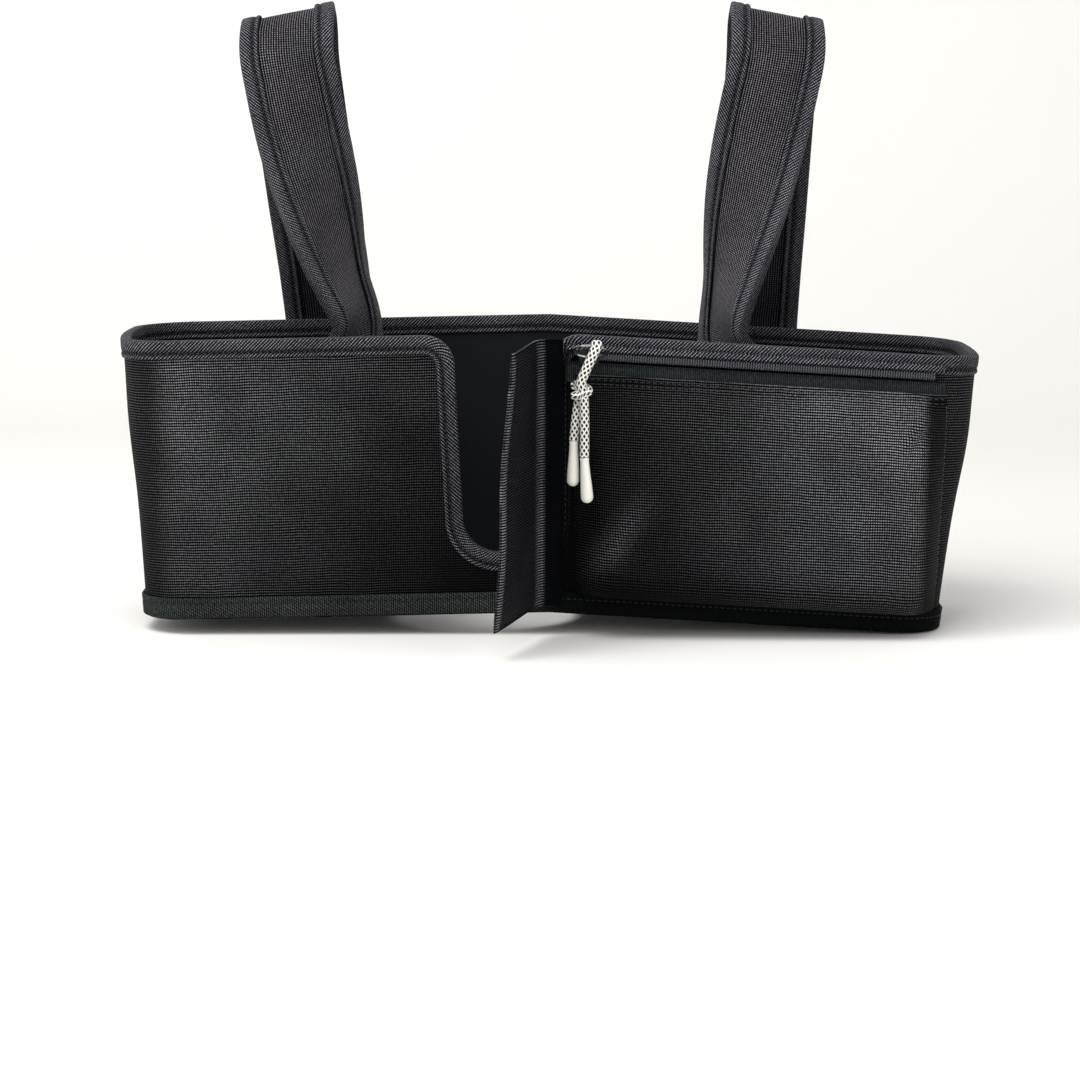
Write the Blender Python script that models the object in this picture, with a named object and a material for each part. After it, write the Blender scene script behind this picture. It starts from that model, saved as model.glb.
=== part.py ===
"""Stroller organizer: a soft tray that hangs from a handlebar by two strap loops.

Metres, +Z up, the front of the tray faces -Y. The tray is laid out level and each
point is then lowered by droop(), because the hanging tray sags towards its ends.
"""

import math

import bmesh
import bpy
import numpy as np
from mathutils import Matrix, geometry

# Tray
RIM_LEFT = -0.2072
RIM_RIGHT = 0.2080
BASE_LEFT = -0.1990
BASE_RIGHT = 0.1915
RIM_DEPTH = 0.124
BASE_DEPTH = 0.108
RIM_HEIGHT = 0.137
CORNER_RADIUS = 0.024
WALL = 0.0028
LEFT_DROOP = 0.0213
RIGHT_DROOP = 0.0590
CORNER_STEPS = 5
FRONT_STEPS = 12
END_STEPS = 2

# Gap between pieces that touch, and the tape that binds the edges
SEAT = 0.0003
TAPE = 0.0010
RIM_TAPE_LEG = 0.0076
CROWN_ROUND = 0.7
BOTTOM_TAPE_HEIGHT = 0.0100
BOTTOM_TAPE_RISE = 0.0008
BOTTOM_TAPE_THICKNESS = 0.0015

# Base panel and the hole that a tall cup hangs through
BASE_THICKNESS = 0.0030
CUP_X = -0.0335
CUP_HOLE_RADIUS = 0.0430
CUP_TAPE_WIDTH = 0.0045
CUP_STEPS = 32
DIVIDER_THICKNESS = 0.0020
DIVIDER_HEIGHT = 0.088
DIVIDER_DIP = 0.006
DIVIDER_STEPS = 9
CUP_BAY = 0.107
BOTTLE_BAY = 0.060

# Notch in the front for a cup's handle
NOTCH_LEFT_TOP = -0.0475
NOTCH_LEFT_LOW = -0.0420
NOTCH_RIGHT = 0.0030
NOTCH_BOTTOM = 0.029
NOTCH_RADII = (0.014, 0.019, 0.016, 0.012)
NOTCH_RIM_RUN = 0.020
CUTTER_REACH = 0.010
NOTCH_ARC_STEPS = 5

# Free flap beside the notch: plan points from its root to its free edge
FLAP_ROOT_X = 0.0065
FLAP_BEND_X = -0.0050
FLAP_REACH = 0.064
FLAP_LEAN_TOP = 0.0125
FLAP_LEAN_LOW = 0.0210
FLAP_THICKNESS = 0.0026
FLAP_BEND_RADIUS = 0.010
FLAP_RISE = 0.0045

# Zipped pocket on the front
POCKET_LEFT = 0.0125
POCKET_RIGHT_TOP = 0.1880
POCKET_RIGHT_LOW = 0.1830
POCKET_SKIN = 0.0015
POCKET_RISE = 0.0125
POCKET_DEPTH = 0.021
POCKET_EDGE_RADIUS = 0.008
POCKET_HEM_DROP = 0.0183
POCKET_HEM_LAP = 0.0060
POCKET_LEFT_SWELL = 0.022
POCKET_RIGHT_SWELL = 0.015
POCKET_FULLNESS = 0.8
POCKET_COLUMNS = 20

# Zipper
ZIP_DROP = 0.0098
ZIP_STANDOFF = 0.0040
ZIP_LEFT = 0.0140
ZIP_RIGHT = 0.1840
COIL_HEIGHT = 0.0018
COIL_HALF_DEPTH = 0.0008
COIL_PARTING = 0.0013
COIL_PITCH = 0.00185
COIL_VALLEY = 0.0004
ZIP_TAPE = 0.0007
UPPER_TAPE_HEIGHT = 0.0028
UPPER_TAPE_LEAN = 0.0008
HEM_OVERLAP = 0.0040
TAPE_RETURN = 0.006
TAPE_TURN = 0.004

# Slider and pull
SLIDER_X = 0.0190
SLIDER_LENGTH = 0.0096
SLIDER_HEIGHT = 0.0072
SLIDER_NOSE = 0.0056
SLIDER_TAPER = 0.0019
SLIDER_RADII = (0.0020, 0.0040, 0.0015)
POST_BACK = -0.0036
POST_FRONT = -0.0010
LIP_BACK = -0.0029
LIP_FRONT = 0.0021
SLIDER_PLATE = 0.0008
SLIDER_PLAY = 0.0003
SLIDER_POST = 0.0007
CROWN_WIDTH = 0.0016
CROWN_SPAN = 0.0046
CROWN_BAR = 0.0009
RING_RADIUS = 0.0082
RING_WIRE = 0.0006
RING_STEPS = 24
RING_RISE = 24.0

# Braided cord of the pull
CORD_RADIUS = 0.00225
FOLD_X = 0.0029
FOLD_FLATTENED = 0.5
LOOP_HALF_WIDTH = 0.0026
LOOP_SHOULDER = 0.0035
KNOT_X = -0.0038
KNOT_DROP = 0.0209
KNOT_SIZE = (0.0105, 0.0096, 0.0090)
TIP_LENGTH = 0.0218
TIP_SIDES = 12
TIP_MOUTH = 0.8
TIP_MOUTH_EDGE = 0.0009
TIP_TOP_RADIUS = 0.0024
TIP_END_RADIUS = 0.0031
LEFT_TAIL = ((-0.0024, 0.0012, -0.0060), (-0.0034, 0.0018, -0.0140), (-0.0038, 0.0018, -0.0238))
RIGHT_TAIL = ((0.0024, -0.0012, -0.0060), (0.0026, -0.0018, -0.0180), (0.0019, -0.0018, -0.0314))

# Straps
BAR_RADIUS = 0.019
BAR_Y = 0.015
BAR_HEIGHT = 0.2668
BAR_TILT = 11.0
STRAP_WIDTH = 0.046
STRAP_WEB = 0.0026
STRAP_TAPE_LEG = 0.0088
STRAP_TAPE_PLAY = 0.0007
STRAP_END = 0.052
PATCH_HEIGHT = 0.040
PATCH_THICKNESS = 0.0014
PATCH_MARGIN = 0.003
STRAPS = {
    "left": {"top": -0.129, "front": -0.0975, "end": -0.1135, "side": 1},
    "right": {"top": 0.1125, "front": 0.0895, "end": 0.1060, "side": -1},
}
STRAP_TWIST = 52.0
LIFT_ACROSS = 0.45
LIFT_FORWARD = 0.0085
LIFT_RISE = 0.020
LIFT_TWIST = 0.30
RIM_CROSS_Y = 0.036
RIM_CROSS_RISE = 0.002
WAIST_ACROSS = 0.22
WAIST_Y = 0.020
WAIST_RISE = 0.034
WAIST_TWIST = 0.72
SHOULDER_ACROSS = 0.62
SHOULDER_HUG = 0.82
SHOULDER_RISE = 0.090
SHOULDER_TWIST = 0.22
WRAP_START = 172.0
BACK_BEND = 0.55
BACK_EASE = 0.0015
STRAP_ARC_STEPS = 8

WALL_TOP = RIM_HEIGHT - SEAT - TAPE

MATERIALS = {
    "ribbed_fabric": ((0.012, 0.012, 0.014), 0.55, 0.0),
    "binding_tape": ((0.020, 0.021, 0.026), 0.75, 0.0),
    "bottom_tape": ((0.010, 0.012, 0.012), 0.80, 0.0),
    "lining": ((0.008, 0.009, 0.012), 0.60, 0.0),
    "strap_web": ((0.026, 0.025, 0.030), 0.65, 0.0),
    "hook_and_loop": ((0.010, 0.010, 0.011), 0.95, 0.0),
    "coil": ((0.014, 0.014, 0.016), 0.40, 0.0),
    "nickel": ((0.62, 0.61, 0.59), 0.20, 1.0),
    "black_nickel": ((0.06, 0.06, 0.065), 0.28, 1.0),
    "braided_cord": ((0.60, 0.59, 0.56), 0.85, 0.0),
    "moulded_tip": ((0.80, 0.77, 0.69), 0.35, 0.0),
}


def clear_scene():
    for obj in list(bpy.data.objects):
        bpy.data.objects.remove(obj, do_unlink=True)


def material(name):
    found = bpy.data.materials.get(name)
    if found:
        return found
    colour, roughness, metallic = MATERIALS[name]
    made = bpy.data.materials.new(name)
    made.use_nodes = True
    shader = made.node_tree.nodes["Principled BSDF"]
    shader.inputs["Base Color"].default_value = (*colour, 1.0)
    shader.inputs["Roughness"].default_value = roughness
    shader.inputs["Metallic"].default_value = metallic
    return made


def lerp(a, b, t):
    return a + (b - a) * t


def placed(axis, values, outline):
    """The flat outline set at each value along the axis that it leaves out: 0 for x, 1 for y."""
    return np.stack([np.insert(outline, axis, value, axis=1) for value in values])


def unit(vectors):
    return vectors / np.linalg.norm(vectors, axis=-1, keepdims=True)


def droop(x):
    """How far the hanging tray has sagged at x: one slope each side of the middle."""
    return -RIGHT_DROOP * np.maximum(x, 0.0) - LEFT_DROOP * np.maximum(-x, 0.0)


def hung(points):
    """The points, each lowered by the sag at its own x."""
    points = np.array(points, dtype=float)
    points[..., 2] += droop(points[..., 0])
    return points


def add_object(name, mesh, finish, smooth=True):
    obj = bpy.data.objects.new(name, mesh)
    bpy.context.scene.collection.objects.link(obj)
    mesh.materials.append(material(finish))
    if smooth:
        mesh.shade_smooth()
        mesh.set_sharp_from_angle(angle=math.radians(35))
    obj.parent = bpy.data.objects["organizer"]
    return obj


def mesh_from(name, points, faces):
    """A mesh of these points and faces with its normals turned outwards. Twisted faces are
    split along their shorter diagonal, so that two layers that follow each other match."""
    mesh = bpy.data.meshes.new(name)
    mesh.from_pydata(np.asarray(points).reshape(-1, 3).tolist(), [], faces)
    shape = bmesh.new()
    shape.from_mesh(mesh)
    bmesh.ops.recalc_face_normals(shape, faces=shape.faces)
    if shape.calc_volume(signed=True) < 0:
        bmesh.ops.reverse_faces(shape, faces=shape.faces)
    bmesh.ops.triangulate(shape, faces=shape.faces, quad_method="SHORT_EDGE")
    shape.to_mesh(mesh)
    shape.free()
    return mesh


def swept(name, sections, finish, closed=False):
    """A solid from sections (stations, corners, 3), joined one to the next, ends capped."""
    stations, corners = sections.shape[:2]
    faces = []
    for i in range(stations if closed else stations - 1):
        j = (i + 1) % stations
        for k in range(corners):
            n = (k + 1) % corners
            faces.append((i * corners + k, i * corners + n, j * corners + n, j * corners + k))
    if not closed:
        faces.append(tuple(range(corners)))
        faces.append(tuple(range((stations - 1) * corners, stations * corners)))
    return add_object(name, mesh_from(name, sections, faces), finish)


def sheet(name, grid, thickness, finish, offset=-1.0):
    """A grid (rows, columns, 3) made a sheet of cloth by Solidify."""
    rows, columns = grid.shape[:2]
    faces = []
    for i in range(rows - 1):
        for j in range(columns - 1):
            a = i * columns + j
            faces.append((a, a + 1, a + columns + 1, a + columns))
    mesh = bpy.data.meshes.new(name)
    mesh.from_pydata(grid.reshape(-1, 3).tolist(), [], faces)
    obj = add_object(name, mesh, finish)
    solid = obj.modifiers.new("thickness", "SOLIDIFY")
    solid.thickness = thickness
    solid.offset = offset
    solid.use_even_offset = True
    return obj


def cut(obj, cutter):
    cutter.hide_render = True
    cutter.display_type = "WIRE"
    boolean = obj.modifiers.new(cutter.name, "BOOLEAN")
    boolean.operation = "DIFFERENCE"
    boolean.solver = "EXACT"
    boolean.object = cutter


def rounded(corners, radii, steps):
    """A polyline whose inner corners are arcs: tangent points, and points between them."""
    corners = [np.array(c, dtype=float) for c in corners]
    path = [corners[0]]
    for before, corner, after, radius in zip(corners, corners[1:], corners[2:], radii):
        back, ahead = unit(before - corner), unit(after - corner)
        half = math.acos(np.clip(back @ ahead, -1, 1)) / 2
        centre = corner + unit(back + ahead) * radius / math.sin(half)
        start = corner + back * radius / math.tan(half) - centre
        end = corner + ahead * radius / math.tan(half) - centre
        sweep = math.pi - 2 * half
        for t in np.linspace(0, 1, steps + 1):
            mix = (math.sin((1 - t) * sweep) * start + math.sin(t * sweep) * end) / math.sin(sweep)
            path.append(centre + mix)
    path.append(corners[-1])
    return np.array(path)


# Tray outline at any height
def front_y(z):
    return -lerp(BASE_DEPTH, RIM_DEPTH, z / RIM_HEIGHT) / 2


def tray_outline(z, inset=0.0):
    """Plan points round the tray at height z, from the back-left seam by the front to the
    back-right seam, then the back wall's middle run. A positive inset moves them inwards."""
    t = z / RIM_HEIGHT
    left = lerp(BASE_LEFT, RIM_LEFT, t) + inset
    right = lerp(BASE_RIGHT, RIM_RIGHT, t) - inset
    front = front_y(z) + inset
    radius = CORNER_RADIUS - inset
    corners = (
        (left + radius, -front - radius, 90, END_STEPS),
        (left + radius, front + radius, 180, FRONT_STEPS),
        (right - radius, front + radius, 270, END_STEPS),
        (right - radius, -front - radius, 0, FRONT_STEPS),
    )
    runs = []
    for index, (x, y, start, steps) in enumerate(corners):
        angles = np.radians(start + np.linspace(0, 90, CORNER_STEPS + 1))
        arc = np.stack([x + radius * np.cos(angles), y + radius * np.sin(angles)], axis=1)
        runs.append(arc)
        next_x, next_y, next_start, _ = corners[(index + 1) % 4]
        turn = math.radians(next_start)
        ahead = np.array([next_x + radius * math.cos(turn), next_y + radius * math.sin(turn)])
        runs.append(lerp(arc[-1], ahead, np.linspace(0, 1, steps + 1)[1:-1, None]))
    return np.concatenate(runs)


BAND_STATIONS = 4 * (CORNER_STEPS + 1) + 2 * (END_STEPS - 1) + (FRONT_STEPS - 1)


def outline_points(z, inset=0.0):
    plan = tray_outline(z, inset)
    return np.column_stack([plan, np.full(len(plan), z)])


def wall_y(x, z):
    """The outer face of the front wall at x, round its right corner too."""
    right = lerp(BASE_RIGHT, RIM_RIGHT, z / RIM_HEIGHT)
    over = np.clip(x - (right - CORNER_RADIUS), 0, CORNER_RADIUS * 0.98)
    return front_y(z) + CORNER_RADIUS - np.sqrt(CORNER_RADIUS**2 - over**2)


def make_walls():
    edges = [(0.0, 0.0), (WALL_TOP, 0.0), (WALL_TOP, WALL), (0.0, WALL)]
    sections = np.stack([outline_points(z, inset) for z, inset in edges], axis=1)
    band = swept("front_band", hung(sections[:BAND_STATIONS]), "ribbed_fabric")
    back = np.concatenate([sections[BAND_STATIONS - 1 :], sections[:1]])
    back[0, :, 0] -= SEAT
    back[-1, :, 0] += SEAT
    swept("back_wall", hung(back), "ribbed_fabric")
    return band


def notch_path():
    """The notch's edge in the front wall as (x, z), from the left rim to the right rim."""
    corners = (
        (NOTCH_LEFT_TOP - NOTCH_RIM_RUN, WALL_TOP),
        (NOTCH_LEFT_TOP, WALL_TOP),
        (NOTCH_LEFT_LOW, NOTCH_BOTTOM),
        (NOTCH_RIGHT, NOTCH_BOTTOM),
        (NOTCH_RIGHT, WALL_TOP),
        (NOTCH_RIGHT + NOTCH_RIM_RUN, WALL_TOP),
    )
    return rounded(corners, NOTCH_RADII, NOTCH_ARC_STEPS)[1:-1]


def cut_notch(band):
    """A prism of the notch's outline, closed above the rim, cut through the front wall."""
    edge = notch_path()
    above = WALL_TOP + CUTTER_REACH
    outline = np.concatenate([[[edge[0, 0], above]], edge, [[edge[-1, 0], above]]])
    front, back = front_y(RIM_HEIGHT) - CUTTER_REACH, front_y(0.0) + WALL + CUTTER_REACH
    cutter = swept("notch_cutter", hung(placed(1, (front, back), outline)), "lining")
    cut(band, cutter)


def channel_profile(leg, half_gap, thickness):
    """A tape folded over an edge: (across, out) corners, with its crown rounded."""
    out, crown = half_gap + thickness, SEAT + thickness
    soft = thickness * CROWN_ROUND
    return np.array([
        (out, -leg), (out, crown - soft * 1.4), (out - soft, crown),
        (-out + soft, crown), (-out, crown - soft * 1.4), (-out, -leg),
        (-half_gap, -leg), (-half_gap, SEAT), (half_gap, SEAT), (half_gap, -leg),
    ])


def make_rim_binding():
    """A folded tape carried round the rim and down into the notch, square to the wall."""
    rim = outline_points(WALL_TOP, WALL / 2)
    up = unit(rim - outline_points(WALL_TOP - RIM_TAPE_LEG, WALL / 2))
    edge = notch_path()
    dip = np.column_stack([edge[:, 0], front_y(edge[:, 1]) + WALL / 2, edge[:, 1]])
    front_up = up[BAND_STATIONS // 2]
    front = np.abs(rim[:, 1] - rim[:, 1].min()) < 1e-6
    margin = RIM_TAPE_LEG / 2
    dropped = front & (rim[:, 0] > edge[0, 0] - margin) & (rim[:, 0] < edge[-1, 0] + margin)
    first, last = np.flatnonzero(dropped)[[0, -1]]
    path = np.concatenate([rim[:first], dip, rim[last + 1 :]])
    up = np.concatenate([up[:first], np.tile(front_up, (len(dip), 1)), up[last + 1 :]])
    ahead, behind = np.roll(path, -1, axis=0), np.roll(path, 1, axis=0)
    along = unit(unit(ahead - path) + unit(path - behind))
    normal = np.cross(along, up)
    normal[first : first + len(dip)] = np.cross((1.0, 0.0, 0.0), front_up)
    normal = unit(normal)
    out = unit(np.cross(normal, along))
    profile = channel_profile(RIM_TAPE_LEG, WALL / 2 + SEAT, TAPE)
    sections = path[:, None] + normal[:, None] * profile[:, :1] + out[:, None] * profile[:, 1:]
    swept("rim_binding", hung(sections), "binding_tape", closed=True)


def make_bottom_binding():
    low, high = BOTTOM_TAPE_RISE, BOTTOM_TAPE_RISE + BOTTOM_TAPE_HEIGHT
    near, far = -SEAT, -SEAT - BOTTOM_TAPE_THICKNESS
    soft = BOTTOM_TAPE_THICKNESS * 0.5
    edges = [(low, near), (low, far + soft), (low + soft, far)]
    edges += [(high - soft, far), (high, far + soft), (high, near)]
    sections = np.stack([outline_points(z, inset) for z, inset in edges], axis=1)
    swept("bottom_binding", hung(sections), "bottom_tape", closed=True)


def make_base():
    """The floor, flat on each side of the knee at x = 0, with the cup's hole through it."""
    outline = tray_outline(0.0, WALL + SEAT)
    hole_radius = CUP_HOLE_RADIUS + TAPE + SEAT
    turns = np.linspace(0, 2 * math.pi, CUP_STEPS, endpoint=False)
    hole = np.stack([CUP_X + hole_radius * np.cos(turns), hole_radius * np.sin(turns)], axis=1)
    reach = BASE_DEPTH
    points = np.concatenate([outline, hole, [(0.0, -reach), (0.0, reach)]])
    n, m = len(outline), len(hole)
    edges = [(i, (i + 1) % n) for i in range(n)]
    edges += [(n + i, n + (i + 1) % m) for i in range(m)]
    edges.append((n + m, n + m + 1))
    found = geometry.delaunay_2d_cdt([tuple(p) for p in points], edges, [], 0, 1e-7)
    places = np.array([tuple(v) for v in found[0]])
    limit = tray_outline(0.0, WALL)
    triangles = []
    for triangle in found[2]:
        centre = places[list(triangle)].mean(axis=0)
        in_hole = math.hypot(centre[0] - CUP_X, centre[1]) < hole_radius * 0.999
        if not in_hole and inside(centre, limit):
            triangles.append(tuple(triangle))
    used = sorted({i for t in triangles for i in t})
    index = {old: new for new, old in enumerate(used)}
    flat = np.column_stack([places[used], np.zeros(len(used))])
    mesh = bpy.data.meshes.new("base_panel")
    mesh.from_pydata(hung(flat).tolist(), [], [tuple(index[i] for i in t) for t in triangles])
    panel = add_object("base_panel", mesh, "lining", smooth=False)
    shape = bmesh.new()
    shape.from_mesh(mesh)
    lifted = bmesh.ops.extrude_face_region(shape, geom=shape.faces[:])
    top = [v for v in lifted["geom"] if isinstance(v, bmesh.types.BMVert)]
    bmesh.ops.translate(shape, verts=top, vec=(0, 0, BASE_THICKNESS))
    bmesh.ops.recalc_face_normals(shape, faces=shape.faces)
    shape.to_mesh(mesh)
    shape.free()
    return panel


def inside(point, outline):
    """True where a point lies inside a convex outline that runs anticlockwise."""
    ahead = np.roll(outline, -1, axis=0) - outline
    away = point - outline
    return bool((ahead[:, 0] * away[:, 1] - ahead[:, 1] * away[:, 0] > 0).all())


def make_cup_hole_binding():
    """A tape folded over the hole's edge: a sleeve through it and a flange on top."""
    near, far = CUP_HOLE_RADIUS, CUP_HOLE_RADIUS + TAPE
    flange = far + CUP_TAPE_WIDTH
    low, seat, top = SEAT, BASE_THICKNESS + SEAT, BASE_THICKNESS + SEAT + TAPE
    profile = [(near, low), (near, top - TAPE / 2), (near + TAPE / 2, top)]
    profile += [(flange, top), (flange, seat), (far, seat), (far, low)]
    turns = np.linspace(0, 2 * math.pi, CUP_STEPS, endpoint=False)
    circle = np.column_stack([np.cos(turns), np.sin(turns)])
    rings = [np.insert(r * circle + (CUP_X, 0.0), 2, z, axis=1) for r, z in profile]
    swept("cup_hole_binding", hung(np.stack(rings, axis=1)), "binding_tape", closed=True)


def make_divider(name, x):
    """A cloth wall across the tray whose top edge dips between the two walls."""
    steps = np.linspace(0, 1, DIVIDER_STEPS)
    bottom, top = BASE_THICKNESS + SEAT + TAPE + SEAT, DIVIDER_HEIGHT
    reach = WALL + SEAT
    upper_z = top - DIVIDER_DIP * np.sin(math.pi * steps)
    upper_y = lerp(front_y(top) + reach, -front_y(top) - reach, steps)
    lower_y = np.array([-front_y(bottom) - reach, front_y(bottom) + reach])
    outline = np.column_stack([np.append(upper_y, lower_y), np.append(upper_z, (bottom, bottom))])
    half = DIVIDER_THICKNESS / 2
    swept(name, hung(placed(0, (x - half, x + half), outline)), "lining")


def make_dividers():
    cup_left, cup_right = CUP_X - CUP_BAY / 2, CUP_X + CUP_BAY / 2
    make_divider("divider_left", cup_left)
    make_divider("divider_middle", cup_right)
    make_divider("divider_right", cup_right + BOTTLE_BAY)


def make_flap():
    """A stiff free flap: sewn beside the notch, it bends forwards and leans to the left."""
    seat_gap = SEAT + TAPE + SEAT + FLAP_THICKNESS / 2
    rows = []
    for t in np.linspace(0, 1, 5):
        z = lerp(FLAP_RISE, RIM_HEIGHT, t)
        wall = min(front_y(z), front_y(BOTTOM_TAPE_HEIGHT)) - seat_gap - BOTTOM_TAPE_THICKNESS * (1 - t)
        lean = lerp(FLAP_LEAN_LOW, FLAP_LEAN_TOP, t)
        free_y = front_y(RIM_HEIGHT) - FLAP_REACH
        corners = ((FLAP_ROOT_X, wall), (FLAP_BEND_X, wall), (FLAP_BEND_X - lean, free_y))
        plan = rounded(corners, (FLAP_BEND_RADIUS,), 5)
        rows.append(np.column_stack([plan, np.full(len(plan), z)]))
    sheet("cup_flap", hung(np.array(rows)), FLAP_THICKNESS, "ribbed_fabric", offset=0.0)


# Middle line of the zipper, before the tray's sag
ZIP_Z = RIM_HEIGHT - ZIP_DROP
ZIP_Y = -RIM_DEPTH / 2 - ZIP_STANDOFF


def make_pocket():
    """The pocket's cloth: out along its underside, round the edge and up to the hem, where
    it laps over the front of the lower zipper tape."""
    u = np.sin(np.linspace(-math.pi / 2, math.pi / 2, POCKET_COLUMNS)) / 2 + 0.5
    hem = RIM_HEIGHT - POCKET_HEM_DROP
    hem_depth = ZIP_STANDOFF + ZIP_TAPE / 2 + SEAT
    corners = ((0.0, POCKET_RISE), (POCKET_DEPTH, POCKET_RISE), (hem_depth, hem))
    profile = rounded(corners, (POCKET_EDGE_RADIUS,), 5)
    lap = 1 - POCKET_HEM_LAP / (hem - POCKET_RISE)
    belly = lerp(profile[-2], profile[-1], np.array([0.2, 0.4, 0.6, 0.8, lap])[:, None])
    profile = np.concatenate([profile[:-1], belly, profile[-1:]])
    plan = tape_plan()
    rows = []
    for depth, z in profile:
        t = (z - POCKET_RISE) / (hem - POCKET_RISE)
        right = lerp(POCKET_RIGHT_LOW, POCKET_RIGHT_TOP, t)
        x = lerp(POCKET_LEFT, right, u)
        left_rise = np.sin(np.clip((x - POCKET_LEFT) / POCKET_LEFT_SWELL, 0, 1) * math.pi / 2)
        right_rise = np.sin(np.clip((right - x) / POCKET_RIGHT_SWELL, 0, 1) * math.pi / 2)
        y = wall_y(x, z) - SEAT * 2 - depth * (left_rise * right_rise) ** POCKET_FULLNESS
        if t > lap * 0.999:
            y = np.minimum(y, np.interp(x, plan[:, 0], plan[:, 1]) - ZIP_TAPE / 2 - SEAT * 2)
        rows.append(np.column_stack([x, y, np.full(len(x), z)]))
    sheet("pocket_front", hung(np.array(rows)), POCKET_SKIN, "ribbed_fabric", offset=1.0)


def tape_plan():
    """Plan of a zipper tape: off the wall at its ends, straight between them."""
    left, right = ZIP_LEFT - TAPE_RETURN, ZIP_RIGHT + TAPE_RETURN
    seat = SEAT * 2 + TAPE + ZIP_TAPE
    start = (left, wall_y(left, RIM_HEIGHT) - seat)
    end = (right, wall_y(right, RIM_HEIGHT) - seat)
    corners = (start, (ZIP_LEFT - TAPE_TURN, ZIP_Y), (ZIP_RIGHT + TAPE_TURN / 2, ZIP_Y), end)
    return rounded(corners, (TAPE_TURN, TAPE_TURN / 2), 3)


def make_zip_tape(name, low, high, lean):
    """A strip of tape between two heights above the zipper's middle line."""
    plan = tape_plan()
    grid = []
    for height, back in ((low, 0.0), (high, lean)):
        grid.append(np.column_stack([plan[:, 0], plan[:, 1] + back, np.full(len(plan), ZIP_Z + height)]))
    sheet(name, hung(np.array(grid)), ZIP_TAPE, "binding_tape", offset=0.0)


def make_coil(name, side):
    """Half of the zipper's coil: a bar whose depth swells at each turn."""
    count = int(round((ZIP_RIGHT - ZIP_LEFT) / COIL_PITCH))
    x = np.linspace(ZIP_LEFT, ZIP_RIGHT, 2 * count + 1)
    half = COIL_HALF_DEPTH - COIL_VALLEY * (np.arange(len(x)) % 2)
    near, far = COIL_PARTING / 2, COIL_PARTING / 2 + COIL_HEIGHT
    corners = []
    for height, depth in ((near, -1), (near, 1), (far, 1), (far, -1)):
        corners.append(np.column_stack([x, ZIP_Y + depth * half, np.full(len(x), ZIP_Z + side * height)]))
    swept(name, hung(np.stack(corners, axis=1)), "coil")


def make_zipper():
    coil_edge = COIL_PARTING / 2 + COIL_HEIGHT + SEAT
    make_zip_tape("zipper_tape_upper", coil_edge, coil_edge + UPPER_TAPE_HEIGHT, UPPER_TAPE_LEAN)
    make_zip_tape("zipper_tape_lower", ZIP_DROP - POCKET_HEM_DROP - HEM_OVERLAP, -coil_edge, 0.0)
    make_coil("zipper_coil_upper", 1)
    make_coil("zipper_coil_lower", -1)


def zip_axis():
    """The line that the slider runs along, as a unit vector."""
    return unit(np.array([1.0, 0.0, -RIGHT_DROOP]))


def slider_frame():
    """Where the slider sits at rest: X along the zipper, Y into the tray."""
    x = zip_axis()
    y = np.array([0.0, 1.0, 0.0])
    z = np.cross(x, y)
    place = hung([SLIDER_X, ZIP_Y, ZIP_Z])
    frame = Matrix([[*row] for row in np.column_stack([x, y, z])]).to_4x4()
    frame.translation = place
    return frame


def plate_outline():
    """A slider plate as (x, z): blunt at the shoulder and narrower at the nose."""
    half, nose = SLIDER_HEIGHT / 2, SLIDER_NOSE / 2
    reach = SLIDER_LENGTH / 2
    corners = (
        (0.0, half), (-reach, half), (-reach, -half), (SLIDER_TAPER, -half),
        (reach, -nose), (reach, nose), (SLIDER_TAPER, half), (0.0, half),
    )
    blunt, slope, tip = SLIDER_RADII
    return rounded(corners, (blunt, blunt, slope, tip, tip, slope), 3)[:-1]


def prism(name, outline, low, high):
    """An outline in (x, z) carried from one y to another."""
    return swept(name, placed(1, (low, high), outline), "black_nickel")


def box_outline(x0, x1, z0, z1):
    return np.array([(x0, z0), (x1, z0), (x1, z1), (x0, z1)])


def make_slider():
    """Two plates joined by a post that runs between the coils, with a crown on the front."""
    inner = COIL_HALF_DEPTH + SLIDER_PLAY
    outer = inner + SLIDER_PLATE
    outline = plate_outline()
    slider = prism("slider", outline, -outer, -inner)
    half = SLIDER_POST / 2
    pieces = [prism("slider_back_plate", outline, inner, outer)]
    post = box_outline(POST_BACK, POST_FRONT, -half, half)
    pieces.append(prism("slider_post", post, -inner - SLIDER_PLATE / 2, inner + SLIDER_PLATE / 2))
    flange_in = ZIP_TAPE / 2 + SLIDER_PLAY
    low, high = COIL_PARTING / 2 + COIL_HEIGHT + SLIDER_PLAY, SLIDER_HEIGHT / 2
    for index, (z0, z1) in enumerate(((low, high), (-high, -low))):
        lip = box_outline(LIP_BACK, LIP_FRONT, z0, z1)
        pieces.append(prism(f"slider_lip_{index}", lip, -inner - SLIDER_PLATE / 2, -flange_in))
    pieces.append(make_crown(outer))
    for piece in pieces:
        piece.hide_render = True
        piece.display_type = "WIRE"
        union = slider.modifiers.new(piece.name, "BOOLEAN")
        union.operation = "UNION"
        union.solver = "EXACT"
        union.object = piece
    for piece in [slider, *pieces]:
        piece.matrix_local = slider_frame()
    return slider


def pivot_depth():
    """How far in front of the zipper's middle the ring's wire runs."""
    return COIL_HALF_DEPTH + SLIDER_PLAY + SLIDER_PLATE + SEAT + RING_WIRE


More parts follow.
